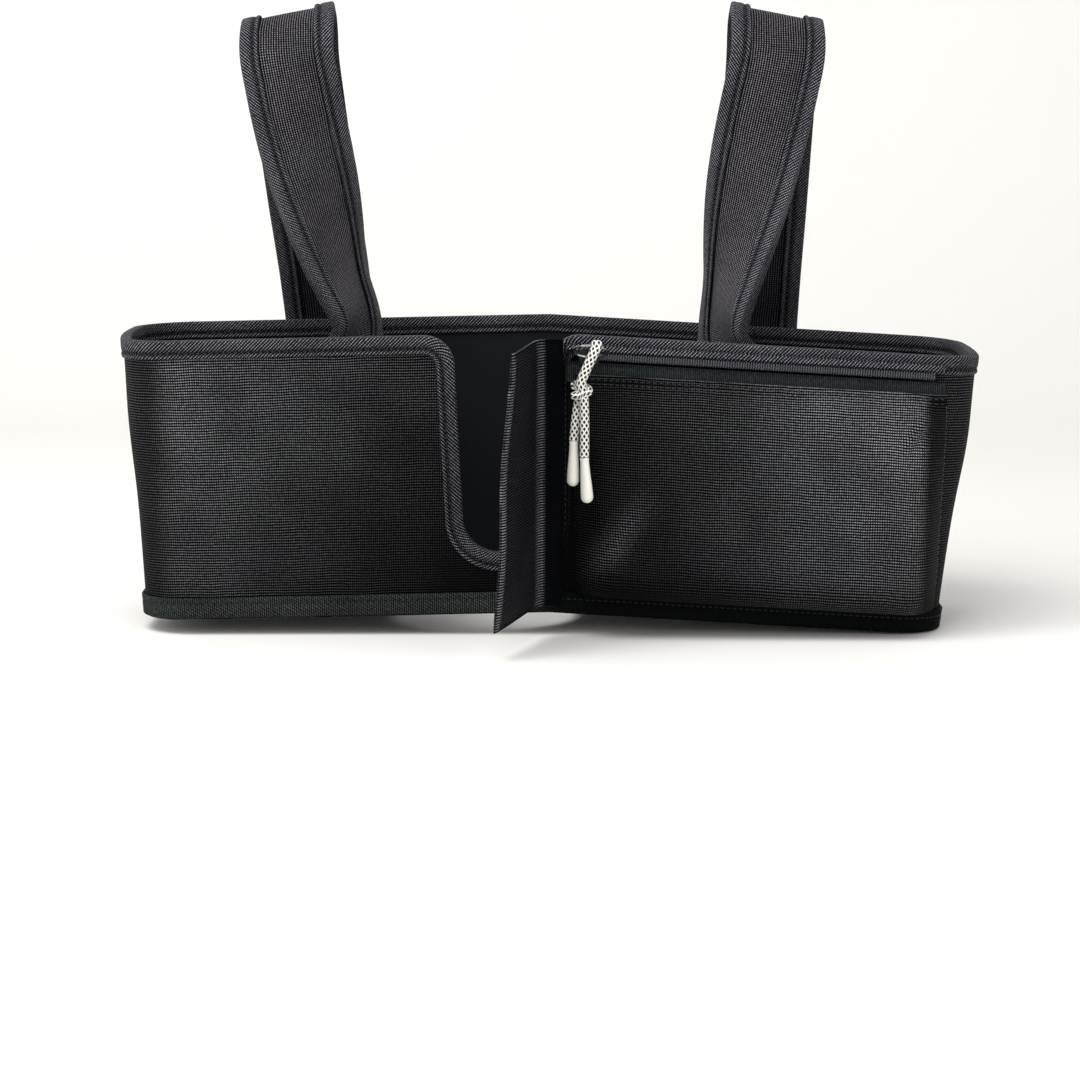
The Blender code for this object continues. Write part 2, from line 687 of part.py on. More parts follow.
def make_crown(outer):
    """The crown: an arch across the front plate that the ring's wire runs under."""
    clear = 2 * RING_WIRE + 2 * SEAT
    top = outer + clear + CROWN_BAR
    half = CROWN_SPAN / 2
    inner = half - CROWN_BAR
    foot = SLIDER_PLATE / 2 - outer
    bow = ((foot, half), (-top, half), (-top, -half), (foot, -half))
    eye = ((foot, -inner), (-outer - clear, -inner), (-outer - clear, inner), (foot, inner))
    outline = rounded(bow, (CROWN_BAR * 1.6,) * 2, 4)
    arch = np.concatenate([outline, rounded(eye, (CROWN_BAR * 0.8,) * 2, 4)])
    return swept("slider_crown", placed(0, (-CROWN_WIDTH / 2, CROWN_WIDTH / 2), arch), "black_nickel")


def ring_frame():
    """The ring's pivot: on the wire that runs under the crown, its front raised by RING_RISE."""
    frame = slider_frame() @ Matrix.Translation((0, -pivot_depth(), 0))
    return frame @ Matrix.Rotation(math.radians(-RING_RISE), 4, "X")


def make_ring():
    """A wire ring whose back lies on the pivot."""
    around = np.linspace(0, 2 * math.pi, RING_STEPS, endpoint=False)
    section = np.linspace(0, 2 * math.pi, 8, endpoint=False)
    radial = RING_RADIUS + RING_WIRE * np.cos(section)
    x = np.sin(around)[:, None] * radial
    y = np.cos(around)[:, None] * radial - RING_RADIUS
    z = np.tile(RING_WIRE * np.sin(section), (len(around), 1))
    ring = swept("pull_ring", np.stack([x, y, z], axis=2), "nickel", closed=True)
    ring.matrix_local = ring_frame()
    return ring


def make_tube(name, points, girth=1.0):
    """A cord: a curve with a round bevel through these points, its girth a share of the full one."""
    curve = bpy.data.curves.new(name, "CURVE")
    curve.dimensions = "3D"
    curve.bevel_depth = CORD_RADIUS
    curve.bevel_resolution = 2
    curve.use_fill_caps = True
    spline = curve.splines.new("POLY")
    spline.points.add(len(points) - 1)
    for point, place, share in zip(spline.points, points, np.broadcast_to(girth, len(points))):
        point.co = (*place, 1.0)
        point.radius = share
    obj = bpy.data.objects.new(name, curve)
    bpy.context.scene.collection.objects.link(obj)
    curve.materials.append(material("braided_cord"))
    obj.parent = bpy.data.objects["organizer"]
    return obj


def smooth_route(points, steps):
    """A Catmull-Rom curve through the route's points, with its own count for each stretch."""
    p = np.array(points, dtype=float)
    counts = np.broadcast_to(steps, len(p) - 1)
    p = np.concatenate([[2 * p[0] - p[1]], p, [2 * p[-1] - p[-2]]])
    path = []
    for a, b, c, d, count in zip(p, p[1:], p[2:], p[3:], counts):
        for t in np.linspace(0, 1, count, endpoint=False):
            bend = (2 * a - 5 * b + 4 * c - d) * t**2 + (3 * b - a - 3 * c + d) * t**3
            path.append(0.5 * (2 * b + (c - a) * t + bend))
    path.append(p[-2])
    return np.array(path)


def ring_point(x):
    """The middle of the ring's wire on its front half, x to the right of its middle."""
    depth = RING_RADIUS + math.sqrt(RING_RADIUS**2 - x**2)
    return np.array((ring_frame() @ Matrix.Translation((x, -depth, 0))).translation)


def make_pull():
    """The ring, and a cord folded over its front, knotted, with a tip on each tail."""
    ring = make_ring()
    fold = ring_point(FOLD_X)
    middle = np.array(ring_frame().translation)
    knot = np.array([middle[0] + KNOT_X, fold[1], fold[2] - KNOT_DROP])
    hanging = [make_loop(fold, knot), make_knot(knot)]
    hanging += make_tail("left", knot, LEFT_TAIL)
    hanging += make_tail("right", knot, RIGHT_TAIL)
    pivot = Matrix.Translation(ring.matrix_basis.translation)
    for piece in hanging:
        piece.data.transform(pivot.inverted() @ piece.matrix_basis)
        piece.matrix_basis = pivot


def make_loop(fold, knot):
    """The cord over the ring: flattened where it folds, then two strands down to the knot."""
    bend = RING_WIRE + SEAT + CORD_RADIUS * FOLD_FLATTENED
    neck = knot + (0, 0, KNOT_SIZE[2] / 2 + SEAT)
    turns = np.radians(np.linspace(0, 180, 7))
    arch = fold + np.column_stack([np.zeros(7), -bend * np.cos(turns), bend * np.sin(turns)])
    shoulder = lerp(fold, neck, LOOP_SHOULDER / (fold[2] - neck[2]))
    wide = np.array([0.0, LOOP_HALF_WIDTH, 0.0])
    route = [neck - wide, shoulder - wide, *arch, shoulder + wide, neck + wide]
    girth = [1.0, 1.0, *np.full(7, FOLD_FLATTENED), 1.0, 1.0]
    return make_tube("pull_cord_loop", route, girth)


def make_knot(centre):
    mesh = bpy.data.meshes.new("pull_knot")
    shape = bmesh.new()
    bmesh.ops.create_uvsphere(shape, u_segments=16, v_segments=10, radius=0.5)
    bmesh.ops.scale(shape, vec=KNOT_SIZE, verts=shape.verts)
    flat = KNOT_SIZE[2] * 0.47
    for vert in shape.verts:
        vert.co.z = max(-flat, min(flat, vert.co.z))
    shape.to_mesh(mesh)
    shape.free()
    knot = add_object("pull_knot", mesh, "braided_cord")
    knot.location = centre
    return knot


def make_tail(side, knot, offsets):
    """A tail from under the knot to its tip, and the moulded tip on its end."""
    start = knot + np.array(offsets[0]) * (1, 1, 0) - (0, 0, KNOT_SIZE[2] / 2 + SEAT)
    route = [start] + [knot + np.array(offset) for offset in offsets[1:]]
    cord = make_tube(f"pull_cord_{side}", smooth_route(route, 4))
    top = route[-1] - (0, 0, SEAT)
    tip = make_tip(f"pull_tip_{side}", top)
    return [cord, tip]


def make_tip(name, top):
    """A moulded cap: round, a little wider towards its domed end."""
    turns = np.linspace(0, 2 * math.pi, TIP_SIDES, endpoint=False)
    straight = np.linspace(0, 1 - TIP_END_RADIUS / TIP_LENGTH, 4)
    profile = [(TIP_TOP_RADIUS * TIP_MOUTH, 0.0)]
    for t in straight:
        down = TIP_MOUTH_EDGE + t * (TIP_LENGTH - TIP_MOUTH_EDGE)
        profile.append((lerp(TIP_TOP_RADIUS, TIP_END_RADIUS, t), down))
    for dome in np.radians((35, 65, 82)):
        rise = TIP_END_RADIUS * math.sin(dome)
        profile.append((TIP_END_RADIUS * math.cos(dome), TIP_LENGTH - TIP_END_RADIUS + rise))
    circle = np.column_stack([np.cos(turns), np.sin(turns)])
    rings = [top + np.insert(r * circle, 2, -down, axis=1) for r, down in profile]
    return swept(name, np.array(rings), "moulded_tip")


# Straps
def strap_stack():
    """From a strap's middle to the outside of its edge tape."""
    return STRAP_WEB / 2 + STRAP_TAPE_PLAY + TAPE


def back_face(z, outward):
    """The back wall's outer or inner face at height z."""
    return -front_y(z) if outward else -front_y(z) - WALL


def strap_route(spec):
    """Centre line of a strap from its inner end, up over the bar, to its outer end, with
    the direction of its width at each point."""
    wrap = BAR_RADIUS + SEAT + strap_stack()
    seat = strap_stack() + SEAT + PATCH_THICKNESS + SEAT
    heights = np.linspace(STRAP_END, STRAP_END + PATCH_HEIGHT, 4)
    top, end, front = spec["top"], spec["end"], spec["front"]
    leave = heights[-1]
    inner = back_face(leave, False) - seat
    stops = [(end, back_face(z, False) - seat, z, 0.0, n) for z, n in zip(heights, (1, 1, 3, 4))]
    lift = (lerp(end, front, LIFT_ACROSS), inner - LIFT_FORWARD, leave + LIFT_RISE)
    waist = (lerp(front, top, WAIST_ACROSS), WAIST_Y, WALL_TOP + WAIST_RISE)
    shoulder = (lerp(front, top, SHOULDER_ACROSS), BAR_Y - wrap * SHOULDER_HUG, WALL_TOP + SHOULDER_RISE)
    stops += [
        (*lift, STRAP_TWIST * LIFT_TWIST, 7),
        (front, RIM_CROSS_Y, WALL_TOP + RIM_CROSS_RISE, STRAP_TWIST, 5),
        (*waist, STRAP_TWIST * WAIST_TWIST, 4),
        (*shoulder, STRAP_TWIST * SHOULDER_TWIST, 3),
    ]
    for angle in np.radians(np.linspace(WRAP_START, 0, STRAP_ARC_STEPS)):
        stops.append((top, BAR_Y + wrap * math.cos(angle), BAR_HEIGHT + wrap * math.sin(angle), 0.0, 1))
    rim_out = -front_y(WALL_TOP) + SEAT + TAPE + SEAT + strap_stack()
    off_bar = np.array([top, BAR_Y + wrap, BAR_HEIGHT])
    middle = lerp(off_bar, np.array([end, rim_out, RIM_HEIGHT]), BACK_BEND)
    stops[-1] = (*stops[-1][:4], 2)
    stops.append((*middle, 0.0, 2))
    stops.append((end, rim_out + BACK_EASE, RIM_HEIGHT, 0.0, 3))
    stops += [(end, back_face(z, True) + seat, z, 0.0, 1) for z in heights[::-1]]
    stops = np.array(stops)
    risen = np.clip((stops[:, 2] - RIM_HEIGHT) / (BAR_HEIGHT - RIM_HEIGHT), 0, 1)
    stops[:, 2] += droop(stops[:, 0]) * (1 - risen)
    route = smooth_route(stops[:, :4], stops[:-1, 4].astype(int))
    path, yaw = route[:, :3], route[:, 3]
    roll = np.clip((path[:, 2] - RIM_HEIGHT) / (BAR_HEIGHT - RIM_HEIGHT), 0, 1) ** 2 * BAR_TILT
    yaw, roll = np.radians(yaw) * spec["side"], np.radians(roll) * spec["side"]
    width = np.stack([np.cos(yaw) * np.cos(roll), np.sin(yaw) * np.cos(roll), np.sin(roll)], axis=1)
    return path, width


def strap_sections(path, width, profile):
    """A profile of (across, off the face) corners carried along the strap."""
    along = unit(np.gradient(path, axis=0))
    across = unit(width - (width * along).sum(axis=1, keepdims=True) * along)
    face = np.cross(across, along)
    return path[:, None] + across[:, None] * profile[:, :1] + face[:, None] * profile[:, 1:]


def make_strap(name, spec):
    path, width = strap_route(spec)
    half, thick = STRAP_WIDTH / 2 - TAPE - SEAT, STRAP_WEB / 2
    inner = half - STRAP_TAPE_LEG
    columns = (-half, -inner, inner, half)
    web = np.array([(x, -thick) for x in columns] + [(x, thick) for x in columns[::-1]])
    swept(f"strap_{name}", strap_sections(path, width, web), "strap_web")
    folded = channel_profile(STRAP_TAPE_LEG, thick + STRAP_TAPE_PLAY, TAPE)
    for edge, side in (("outer", -1), ("inner", 1)):
        across = np.column_stack([side * (half + folded[:, 1]), folded[:, 0]])
        label = edge if spec["side"] > 0 else {"outer": "inner", "inner": "outer"}[edge]
        swept(f"strap_{name}_binding_{label}", strap_sections(path, width, across), "binding_tape")
    make_patches(name, spec)


def make_patches(name, spec):
    """Hook-and-loop patches between a strap's two ends and the back wall."""
    half = STRAP_WIDTH / 2 - STRAP_TAPE_LEG - PATCH_MARGIN
    low, high = STRAP_END + PATCH_MARGIN, STRAP_END + PATCH_HEIGHT - PATCH_MARGIN
    x = spec["end"]
    for place, outward in (("inner", False), ("outer", True)):
        side = 1 if outward else -1
        near, far = SEAT, SEAT + PATCH_THICKNESS + TAPE
        corners = []
        for z, off in ((low, near), (low, far), (high, far), (high, near)):
            corners.append((back_face(z, outward) + side * off, z))
        loops = placed(0, (x - half, x + half), np.array(corners))
        swept(f"patch_{name}_{place}", hung(loops), "hook_and_loop")


def centre_on_base():
    """Moves the whole organizer so its rigid pieces stand on z = 0, centred on the origin."""
    bpy.context.view_layer.update()
    graph = bpy.context.evaluated_depsgraph_get()
    low, high = np.full(3, np.inf), np.full(3, -np.inf)
    for obj in bpy.data.objects:
        if obj.type != "MESH" or obj.hide_render or obj.name.startswith(("pull_knot", "pull_tip")):
            continue
        shown = obj.evaluated_get(graph)
        corners = np.array([shown.matrix_world @ v.co for v in shown.data.vertices])
        low, high = np.minimum(low, corners.min(axis=0)), np.maximum(high, corners.max(axis=0))
    shift = -np.array([(low[0] + high[0]) / 2, (low[1] + high[1]) / 2, low[2]])
    bpy.data.objects["organizer"].location = shift
    bpy.context.view_layer.update()
    print("moved by", shift.round(5).tolist(), "size", (high - low).round(4).tolist())
    for name, frame in (("slider", slider_frame()), ("pull's pivot", ring_frame())):
        print(name, "at", (np.array(frame.translation) + shift).round(5).tolist())
    print("zipper runs along", zip_axis().round(5).tolist())


def main():
    clear_scene()
    root = bpy.data.objects.new("organizer", None)
    bpy.context.scene.collection.objects.link(root)
    cut_notch(make_walls())
    make_base()
    make_cup_hole_binding()
    make_rim_binding()
    make_bottom_binding()
    make_dividers()
    make_flap()
    make_pocket()
    make_zipper()
    make_slider()
    make_pull()
    for name, spec in STRAPS.items():
        make_strap(name, spec)
    centre_on_base()


main()
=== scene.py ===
import math

import bpy
import numpy as np
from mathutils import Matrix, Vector


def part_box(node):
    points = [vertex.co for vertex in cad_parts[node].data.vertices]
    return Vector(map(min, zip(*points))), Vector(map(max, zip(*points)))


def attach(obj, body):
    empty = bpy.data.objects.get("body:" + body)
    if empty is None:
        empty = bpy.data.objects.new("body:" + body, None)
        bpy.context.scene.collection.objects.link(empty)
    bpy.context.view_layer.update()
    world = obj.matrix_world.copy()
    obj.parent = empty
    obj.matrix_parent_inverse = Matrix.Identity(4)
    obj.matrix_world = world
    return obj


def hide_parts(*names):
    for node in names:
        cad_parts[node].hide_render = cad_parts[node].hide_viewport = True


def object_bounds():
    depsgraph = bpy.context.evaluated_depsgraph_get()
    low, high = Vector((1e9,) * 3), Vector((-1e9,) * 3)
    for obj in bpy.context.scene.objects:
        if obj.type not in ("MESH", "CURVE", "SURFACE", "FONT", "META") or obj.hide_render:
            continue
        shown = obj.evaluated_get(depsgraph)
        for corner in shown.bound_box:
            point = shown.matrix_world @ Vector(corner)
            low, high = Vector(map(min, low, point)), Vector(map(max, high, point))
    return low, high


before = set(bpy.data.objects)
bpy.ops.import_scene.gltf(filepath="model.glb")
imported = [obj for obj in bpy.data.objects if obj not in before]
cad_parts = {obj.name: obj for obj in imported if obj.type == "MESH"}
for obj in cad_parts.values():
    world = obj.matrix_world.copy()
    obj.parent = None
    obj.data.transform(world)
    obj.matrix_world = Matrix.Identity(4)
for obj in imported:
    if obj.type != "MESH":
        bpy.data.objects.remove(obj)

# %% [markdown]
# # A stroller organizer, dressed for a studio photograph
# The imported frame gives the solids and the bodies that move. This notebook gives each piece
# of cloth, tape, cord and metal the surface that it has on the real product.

cad_box = [list(corner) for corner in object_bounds()]
print("frame box, mm:", [[round(c * 1000, 1) for c in corner] for corner in cad_box])

# %% [markdown]
# ## Sizes
# These lengths, in metres, are the product's own. Heights start at the floor of the tray, and
# x at the middle of its rim. The whole tray sags a little from its middle to each end.

# %% Driving sizes
RIM_LEFT, RIM_RIGHT = -0.2072, 0.2080
BASE_LEFT, BASE_RIGHT = -0.1990, 0.1915
RIM_DEPTH, BASE_DEPTH = 0.124, 0.108
RIM_HEIGHT = 0.137
CORNER_RADIUS = 0.024
WALL = 0.0028
LEFT_DROOP, RIGHT_DROOP = 0.0213, 0.0590
SEAT = 0.0003
TAPE = 0.0010
WALL_TOP = RIM_HEIGHT - SEAT - TAPE
RIM_TAPE_LEG = 0.0076

base_low = np.array(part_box("base_panel")[0])
INSET = WALL + SEAT
HOME = base_low - (BASE_LEFT + INSET, INSET - BASE_DEPTH / 2, -RIGHT_DROOP * (BASE_RIGHT - INSET))
print("design origin in the frame, mm:", (HOME * 1000).round(2))


# %% [markdown]
# ## Camera
# The photograph is taken with a long lens from a little above the rim, straight at the front.
# The vertical lines hardly meet, so the camera stands about a metre and a half away.

# %% Camera
LENS = 104.5
CAMERA_PLACE = (-0.0049, -1.5344, 0.2696)
CAMERA_DIP = 8.4

camera = bpy.data.objects.new("camera", bpy.data.cameras.new("camera"))
bpy.context.scene.collection.objects.link(camera)
camera.data.lens = LENS
camera.data.sensor_width = 36.0
camera.location = CAMERA_PLACE
camera.rotation_euler = (math.radians(90 - CAMERA_DIP), 0, 0)
bpy.context.scene.camera = camera
print("camera", CAMERA_PLACE, "lens", LENS)


# %% [markdown]
# ## Helpers for cloth
# Cloth is made as grids of points worked out with numpy. Every grid carries its own map in
# millimetres, so that a weave follows the cloth round each corner and never stretches.

# %% Grids, sweeps and sheets
def lerp(a, b, t):
    """The value a share t of the way from a to b."""
    return a + (b - a) * t


def unit(vectors):
    """The same directions, one long."""
    return vectors / np.linalg.norm(vectors, axis=-1, keepdims=True)


def droop(x):
    """How much the sagging tray is lifted at x: -slope * |x|, with one slope for each side."""
    return -RIGHT_DROOP * np.maximum(x, 0.0) - LEFT_DROOP * np.maximum(-x, 0.0)


def hung(points):
    """Points of the level tray, in the frame: z' = z + droop(x)."""
    points = np.array(points, dtype=float)
    points[..., 2] += droop(points[..., 0])
    return points + HOME


def run_length(points, axis):
    """Running length in millimetres along one axis of a grid, the mean of its lines."""
    steps = np.linalg.norm(np.diff(points, axis=axis), axis=-1).mean(axis=1 - axis) * 1000
    return np.concatenate([[0.0], np.cumsum(steps)])


def quads_of(index):
    """The four corners of every cell of a grid of point numbers."""
    return np.stack([index[:-1, :-1], index[:-1, 1:], index[1:, 1:], index[1:, :-1]], axis=2)


def new_object(name, points, faces, finish):
    """A smooth mesh of these points and faces, as an object at the origin."""
    mesh = bpy.data.meshes.new(name)
    mesh.from_pydata(points.reshape(-1, 3).tolist(), [], faces)
    mesh.shade_smooth()
    mesh.materials.append(finish)
    obj = bpy.data.objects.new(name, mesh)
    bpy.context.scene.collection.objects.link(obj)
    return obj


def stand_in(piece, slot, *solids):
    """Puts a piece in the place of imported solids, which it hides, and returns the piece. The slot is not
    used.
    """
    for solid in solids:
        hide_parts(solid)
    return piece


def surface(name, grid, uv, finish, body="tray", closed=(False, False), caps=False, flip=False, lit=1.0):
    """A mesh of a grid (rows, columns, 3); uv has one row or column more where it closes. The
    attribute lit is painted light: how strongly the glints painted on the cloth's crests show at each point."""
    rows, columns = grid.shape[:2]
    index = np.arange(rows * columns).reshape(rows, columns)
    if closed[0]:
        index = np.concatenate([index, index[:1]])
    if closed[1]:
        index = np.concatenate([index, index[:, :1]], axis=1)
    quads, uvs = quads_of(index).reshape(-1, 4), quads_of(uv).reshape(-1, 4, 2)
    if flip:
        quads, uvs = quads[:, ::-1], uvs[:, ::-1]
    faces, loops = quads.tolist(), uvs.reshape(-1, 2)
    if caps:
        ends = [index[0, :columns], index[rows - 1, :columns][::-1]]
        edge_uv = [uv[0, :columns], uv[rows - 1, :columns][::-1]]
        if flip:
            ends, edge_uv = [e[::-1] for e in ends], [e[::-1] for e in edge_uv]
        faces += [e.tolist() for e in ends]
        loops = np.concatenate([loops, *edge_uv])
    obj = new_object(name, grid, faces, finish)
    layer = obj.data.uv_layers.new(name="mm")
    layer.data.foreach_set("uv", loops.astype(np.float32).ravel())
    # The lit attribute holds painted light and shade for the cloth's painted glints.
    painted_light = obj.data.attributes.new("lit", "FLOAT", "POINT")
    painted_light.data.foreach_set("value", np.broadcast_to(lit, (rows, columns)).astype(np.float32).ravel())
    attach(obj, body)
    print(f"{name}: {len(faces)} faces")
    return obj


def swept(name, sections, finish, body="tray", closed=False, **options):
    """A closed profile carried along a path: sections (stations, corners, 3), mapped in mm."""
    along = run_length(np.concatenate([sections, sections[:1]]) if closed else sections, 0)
    loop = np.concatenate([sections, sections[:, :1]], axis=1)
    uv = np.stack(np.meshgrid(along, run_length(loop, 1), indexing="ij"), axis=2)
    return surface(name, sections, uv, finish, body, (closed, True), caps=not closed, **options)


def carried(path, first, second, profile):
    """A profile (corners, 2) at each point of a path: path + first * x + second * y."""
    return path[:, None] + first[:, None] * profile[:, :1] + second[:, None] * profile[:, 1:]


def grid_normals(grid):
    """Unit normals of a grid: the cross product of its two gradients. The first and last
    columns take their neighbours', because rows may meet in one point there."""
    normal = np.cross(np.gradient(grid, axis=1), np.gradient(grid, axis=0))
    normal[:, 0], normal[:, -1] = normal[:, 1], normal[:, -2]
    return unit(normal)


def slab(name, middle, thickness, finish, side=0.0, lit=1.0):
    """A sheet with two faces: middle + normal * thickness * (side +- 1/2), closed round its edge.
    The section of each row is its front face and then its back face the other way round."""
    normal = grid_normals(middle)
    thickness = np.broadcast_to(thickness, middle.shape[:2])[..., None]
    front = middle + normal * thickness * (side + 0.5)
    back = middle + normal * thickness * (side - 0.5)
    sections = np.concatenate([front, back[:, ::-1]], axis=1)
    u, v = run_length(middle, 1), run_length(middle, 0)
    across = np.concatenate([u, u[::-1], u[:1]])
    uv = np.stack(np.meshgrid(v, across, indexing="ij"), axis=2)[..., ::-1]
    # Painted light, mirrored onto the back face.
    painted_light = np.broadcast_to(lit, middle.shape[:2])
    painted_light = np.concatenate([painted_light, painted_light[:, ::-1]], axis=1)
    return surface(name, sections, uv, finish, closed=(False, True), caps=True, lit=painted_light)


def edge_round(count, reach=2, low=0.45):
    """Shares of the thickness across a sheet, thinner at both of its edges."""
    share = np.ones(count)
    ramp = np.linspace(low, 1, reach, endpoint=False)
    share[:reach], share[-reach:] = ramp, ramp[::-1]
    return share


def ease(x, start, end):
    """0 before start, 1 after end, and t * t * (3 - 2 t) between them."""
    t = np.clip((x - start) / (end - start), 0, 1)
    return t * t * (3 - 2 * t)


def rounded(corners, radii, steps):
    """A polyline whose inner corners are arcs of these radii."""
    corners = [np.array(c, dtype=float) for c in corners]
    path = [corners[0]]
    for before, corner, after, radius in zip(corners, corners[1:], corners[2:], radii):
        back, ahead = unit(before - corner), unit(after - corner)
        half = math.acos(np.clip(back @ ahead, -1, 1)) / 2
        centre = corner + unit(back + ahead) * radius / math.sin(half)
        start = corner + back * radius / math.tan(half) - centre
        end = corner + ahead * radius / math.tan(half) - centre
        sweep = math.pi - 2 * half
        t = np.linspace(0, 1, steps + 1)[:, None]
        path.extend(centre + (np.sin((1 - t) * sweep) * start + np.sin(t * sweep) * end) / math.sin(sweep))
    path.append(corners[-1])
    return np.array(path)


def smooth_route(points, steps):
    """A Catmull-Rom curve through the points, with its own count for each stretch."""
    p = np.array(points, dtype=float)
    counts = np.broadcast_to(steps, len(p) - 1)
    p = np.concatenate([[2 * p[0] - p[1]], p, [2 * p[-1] - p[-2]]])
    path = []
    for a, b, c, d, count in zip(p, p[1:], p[2:], p[3:], counts):
        t = np.linspace(0, 1, count, endpoint=False)[:, None]
        bend = (2 * a - 5 * b + 4 * c - d) * t**2 + (3 * b - a - 3 * c + d) * t**3
        path.extend(0.5 * (2 * b + (c - a) * t + bend))
    path.append(p[-2])
    return np.array(path)


def soften(path, pitch, reach):
    """The path with even steps of about a pitch, each point the mean of its neighbours within
    reach, weighted by a bell curve. Both ends keep their places."""
    length = np.concatenate([[0], np.cumsum(np.linalg.norm(np.diff(path[:, :3], axis=0), axis=1))])
    marks = np.linspace(0, length[-1], int(length[-1] / pitch))
    even = np.stack([np.interp(marks, length, column) for column in path.T], axis=1)
    count = int(reach / pitch)
    bell = np.exp(-2 * np.linspace(-1, 1, 2 * count + 1) ** 2)
    longer = np.concatenate([2 * even[0] - even[count:0:-1], even, 2 * even[-1] - even[-2 : -count - 2 : -1]])
    return np.stack([np.convolve(column, bell / bell.sum(), "valid") for column in longer.T], axis=1)


def resample(path, pitch):
    """Points a pitch apart along a polyline of any width of columns; the first three are a place."""
    length = np.concatenate([[0], np.cumsum(np.linalg.norm(np.diff(path[:, :3], axis=0), axis=1))])
    marks = np.arange(pitch / 2, length[-1], pitch)
    return np.stack([np.interp(marks, length, column) for column in path.T], axis=1)


# %% [markdown]
# ## Materials
# The black of this product is many blacks: coated ribbed cloth, twill tape,
# grosgrain, smooth lining, and straps whose glints have a violet cast. Each one is a weave computed from
# the map in millimetres, which lifts the surface and paints grey glints into the colour of its crests:
# painted highlights, scaled by the painted light in each piece's lit attribute.

# %% Node helpers
def fill(tree, made, inputs):
    """Fills a node's inputs: a socket is linked, and a number or colour is set."""
    for key, value in inputs.items():
        if isinstance(value, bpy.types.NodeSocket):
            tree.links.new(value, made.inputs[key])
        else:
            made.inputs[key].default_value = value


def linear(code):
    """An sRGB hex colour as linear RGB with alpha."""
    values = [int(code[i : i + 2], 16) / 255 for i in (1, 3, 5)]
    return (*[v / 12.92 if v <= 0.04045 else ((v + 0.055) / 1.055) ** 2.4 for v in values], 1.0)


def node(tree, kind, inputs=None, **settings):
    """Adds a node, sets its properties, and fills or links its inputs."""
    made = tree.nodes.new(kind)
    for key, value in settings.items():
        setattr(made, key, value)
    fill(tree, made, inputs or {})
    return made


def maths(tree, operation, *values):
    """The result of a Math node on these numbers or sockets."""
    inputs = dict(enumerate(values))
    return node(tree, "ShaderNodeMath", inputs, operation=operation).outputs[0]


def new_material(name):
    """A new material, its node tree and its Principled shader."""
    made = bpy.data.materials.new(name)
    made.use_nodes = True
    return made, made.node_tree, made.node_tree.nodes["Principled BSDF"]


def mapped(tree):
    """The piece's own map as two values in millimetres."""
    place = node(tree, "ShaderNodeUVMap", uv_map="mm").outputs["UV"]
    split = node(tree, "ShaderNodeSeparateXYZ", {"Vector": place})
    return place, split.outputs["X"], split.outputs["Y"]


def wave(tree, value, pitch):
    """A ripple from 0 to 1 of this pitch: (1 + cos(2 pi value / pitch)) / 2."""
    turn = maths(tree, "MULTIPLY", value, 2 * math.pi / pitch)
    return maths(tree, "MULTIPLY_ADD", maths(tree, "COSINE", turn), 0.5, 0.5)


def noise(tree, place, scale, detail=2.0):
    """Cloudy noise from 0 to 1, with about scale clouds in each unit of place."""
    inputs = {"Vector": place, "Scale": scale, "Detail": detail}
    return node(tree, "ShaderNodeTexNoise", inputs).outputs["Fac"]


def mix_colour(tree, factor, low, high):
    """Two colours mixed by a factor, through the colour sockets of the Mix node."""
    inputs = {0: factor, 6: linear(low), 7: linear(high)}
    return node(tree, "ShaderNodeMix", inputs, data_type="RGBA").outputs[2]


def raise_surface(tree, shader, height, distance, strength):
    """Bump: a pattern from 0 to 1 tilts the shading as if it rose by distance, in metres."""
    bump = node(tree, "ShaderNodeBump", {"Height": height, "Distance": distance, "Strength": strength})
    tree.links.new(bump.outputs["Normal"], shader.inputs["Normal"])


# %% Woven materials
def glints(tree, lifted, place, power, gain, uneven_by, floor):
    """Painted highlights: irregular bright spots on a weave's crests, gain * lit * lifted ** power * uneven
    noise, where lit is the piece's painted light.
    """
    uneven = maths(tree, "MULTIPLY_ADD", noise(tree, place, 0.62, 3.0), uneven_by, floor)
    patchy = maths(tree, "MULTIPLY_ADD", noise(tree, place, 0.03, 2.0), 1.2, 0.4)
    spots = maths(tree, "MULTIPLY", maths(tree, "MAXIMUM", uneven, 0.12), patchy)
    lit = node(tree, "ShaderNodeAttribute", attribute_name="lit").outputs["Fac"]
    spots = maths(tree, "MULTIPLY", spots, maths(tree, "MULTIPLY", lit, gain))
    return maths(tree, "MULTIPLY", maths(tree, "POWER", lifted, power), spots)


def weave(tree, shader, lifted, spark, colours, gloss, relief):
    """A weave's look from its raised yarns. The spark of painted highlights mixes the dark colour towards the
    light one; dark yarns hardly shine, and bright crests shine
    softly: gloss is (roughness, matt level, level added on crests), relief (height, strength)."""
    rough, matt, bright = gloss
    fill(tree, shader, {
        "Base Color": mix_colour(tree, spark, *colours),
        "Specular IOR Level": maths(tree, "MULTIPLY_ADD", spark, bright, matt),
        "Roughness": maths(tree, "MULTIPLY_ADD", spark, -0.2, rough),
    })
    raise_surface(tree, shader, lifted, *relief)


def ribbed(name, dark, light, rib=1.30, thread=1.12, gain=1.8):
    """Coated canvas with raised ribs: ribs along u, each crossed by fine dotted threads."""
    made, tree, shader = new_material(name)
    place, u, v = mapped(tree)
    sway = maths(tree, "MULTIPLY_ADD", noise(tree, place, 0.05), 1.6, -0.8)
    crest = wave(tree, maths(tree, "ADD", v, sway), rib)
    dots = wave(tree, maths(tree, "ADD", u, sway), thread)
    lifted = maths(tree, "MULTIPLY", crest, maths(tree, "MULTIPLY_ADD", dots, 0.55, 0.45))
    spark = glints(tree, lifted, place, 3.2, gain, 1.5, -0.1)
    weave(tree, shader, lifted, spark, (dark, light), (0.62, 0.02, 0.5), (0.00028, 0.7))
    return made


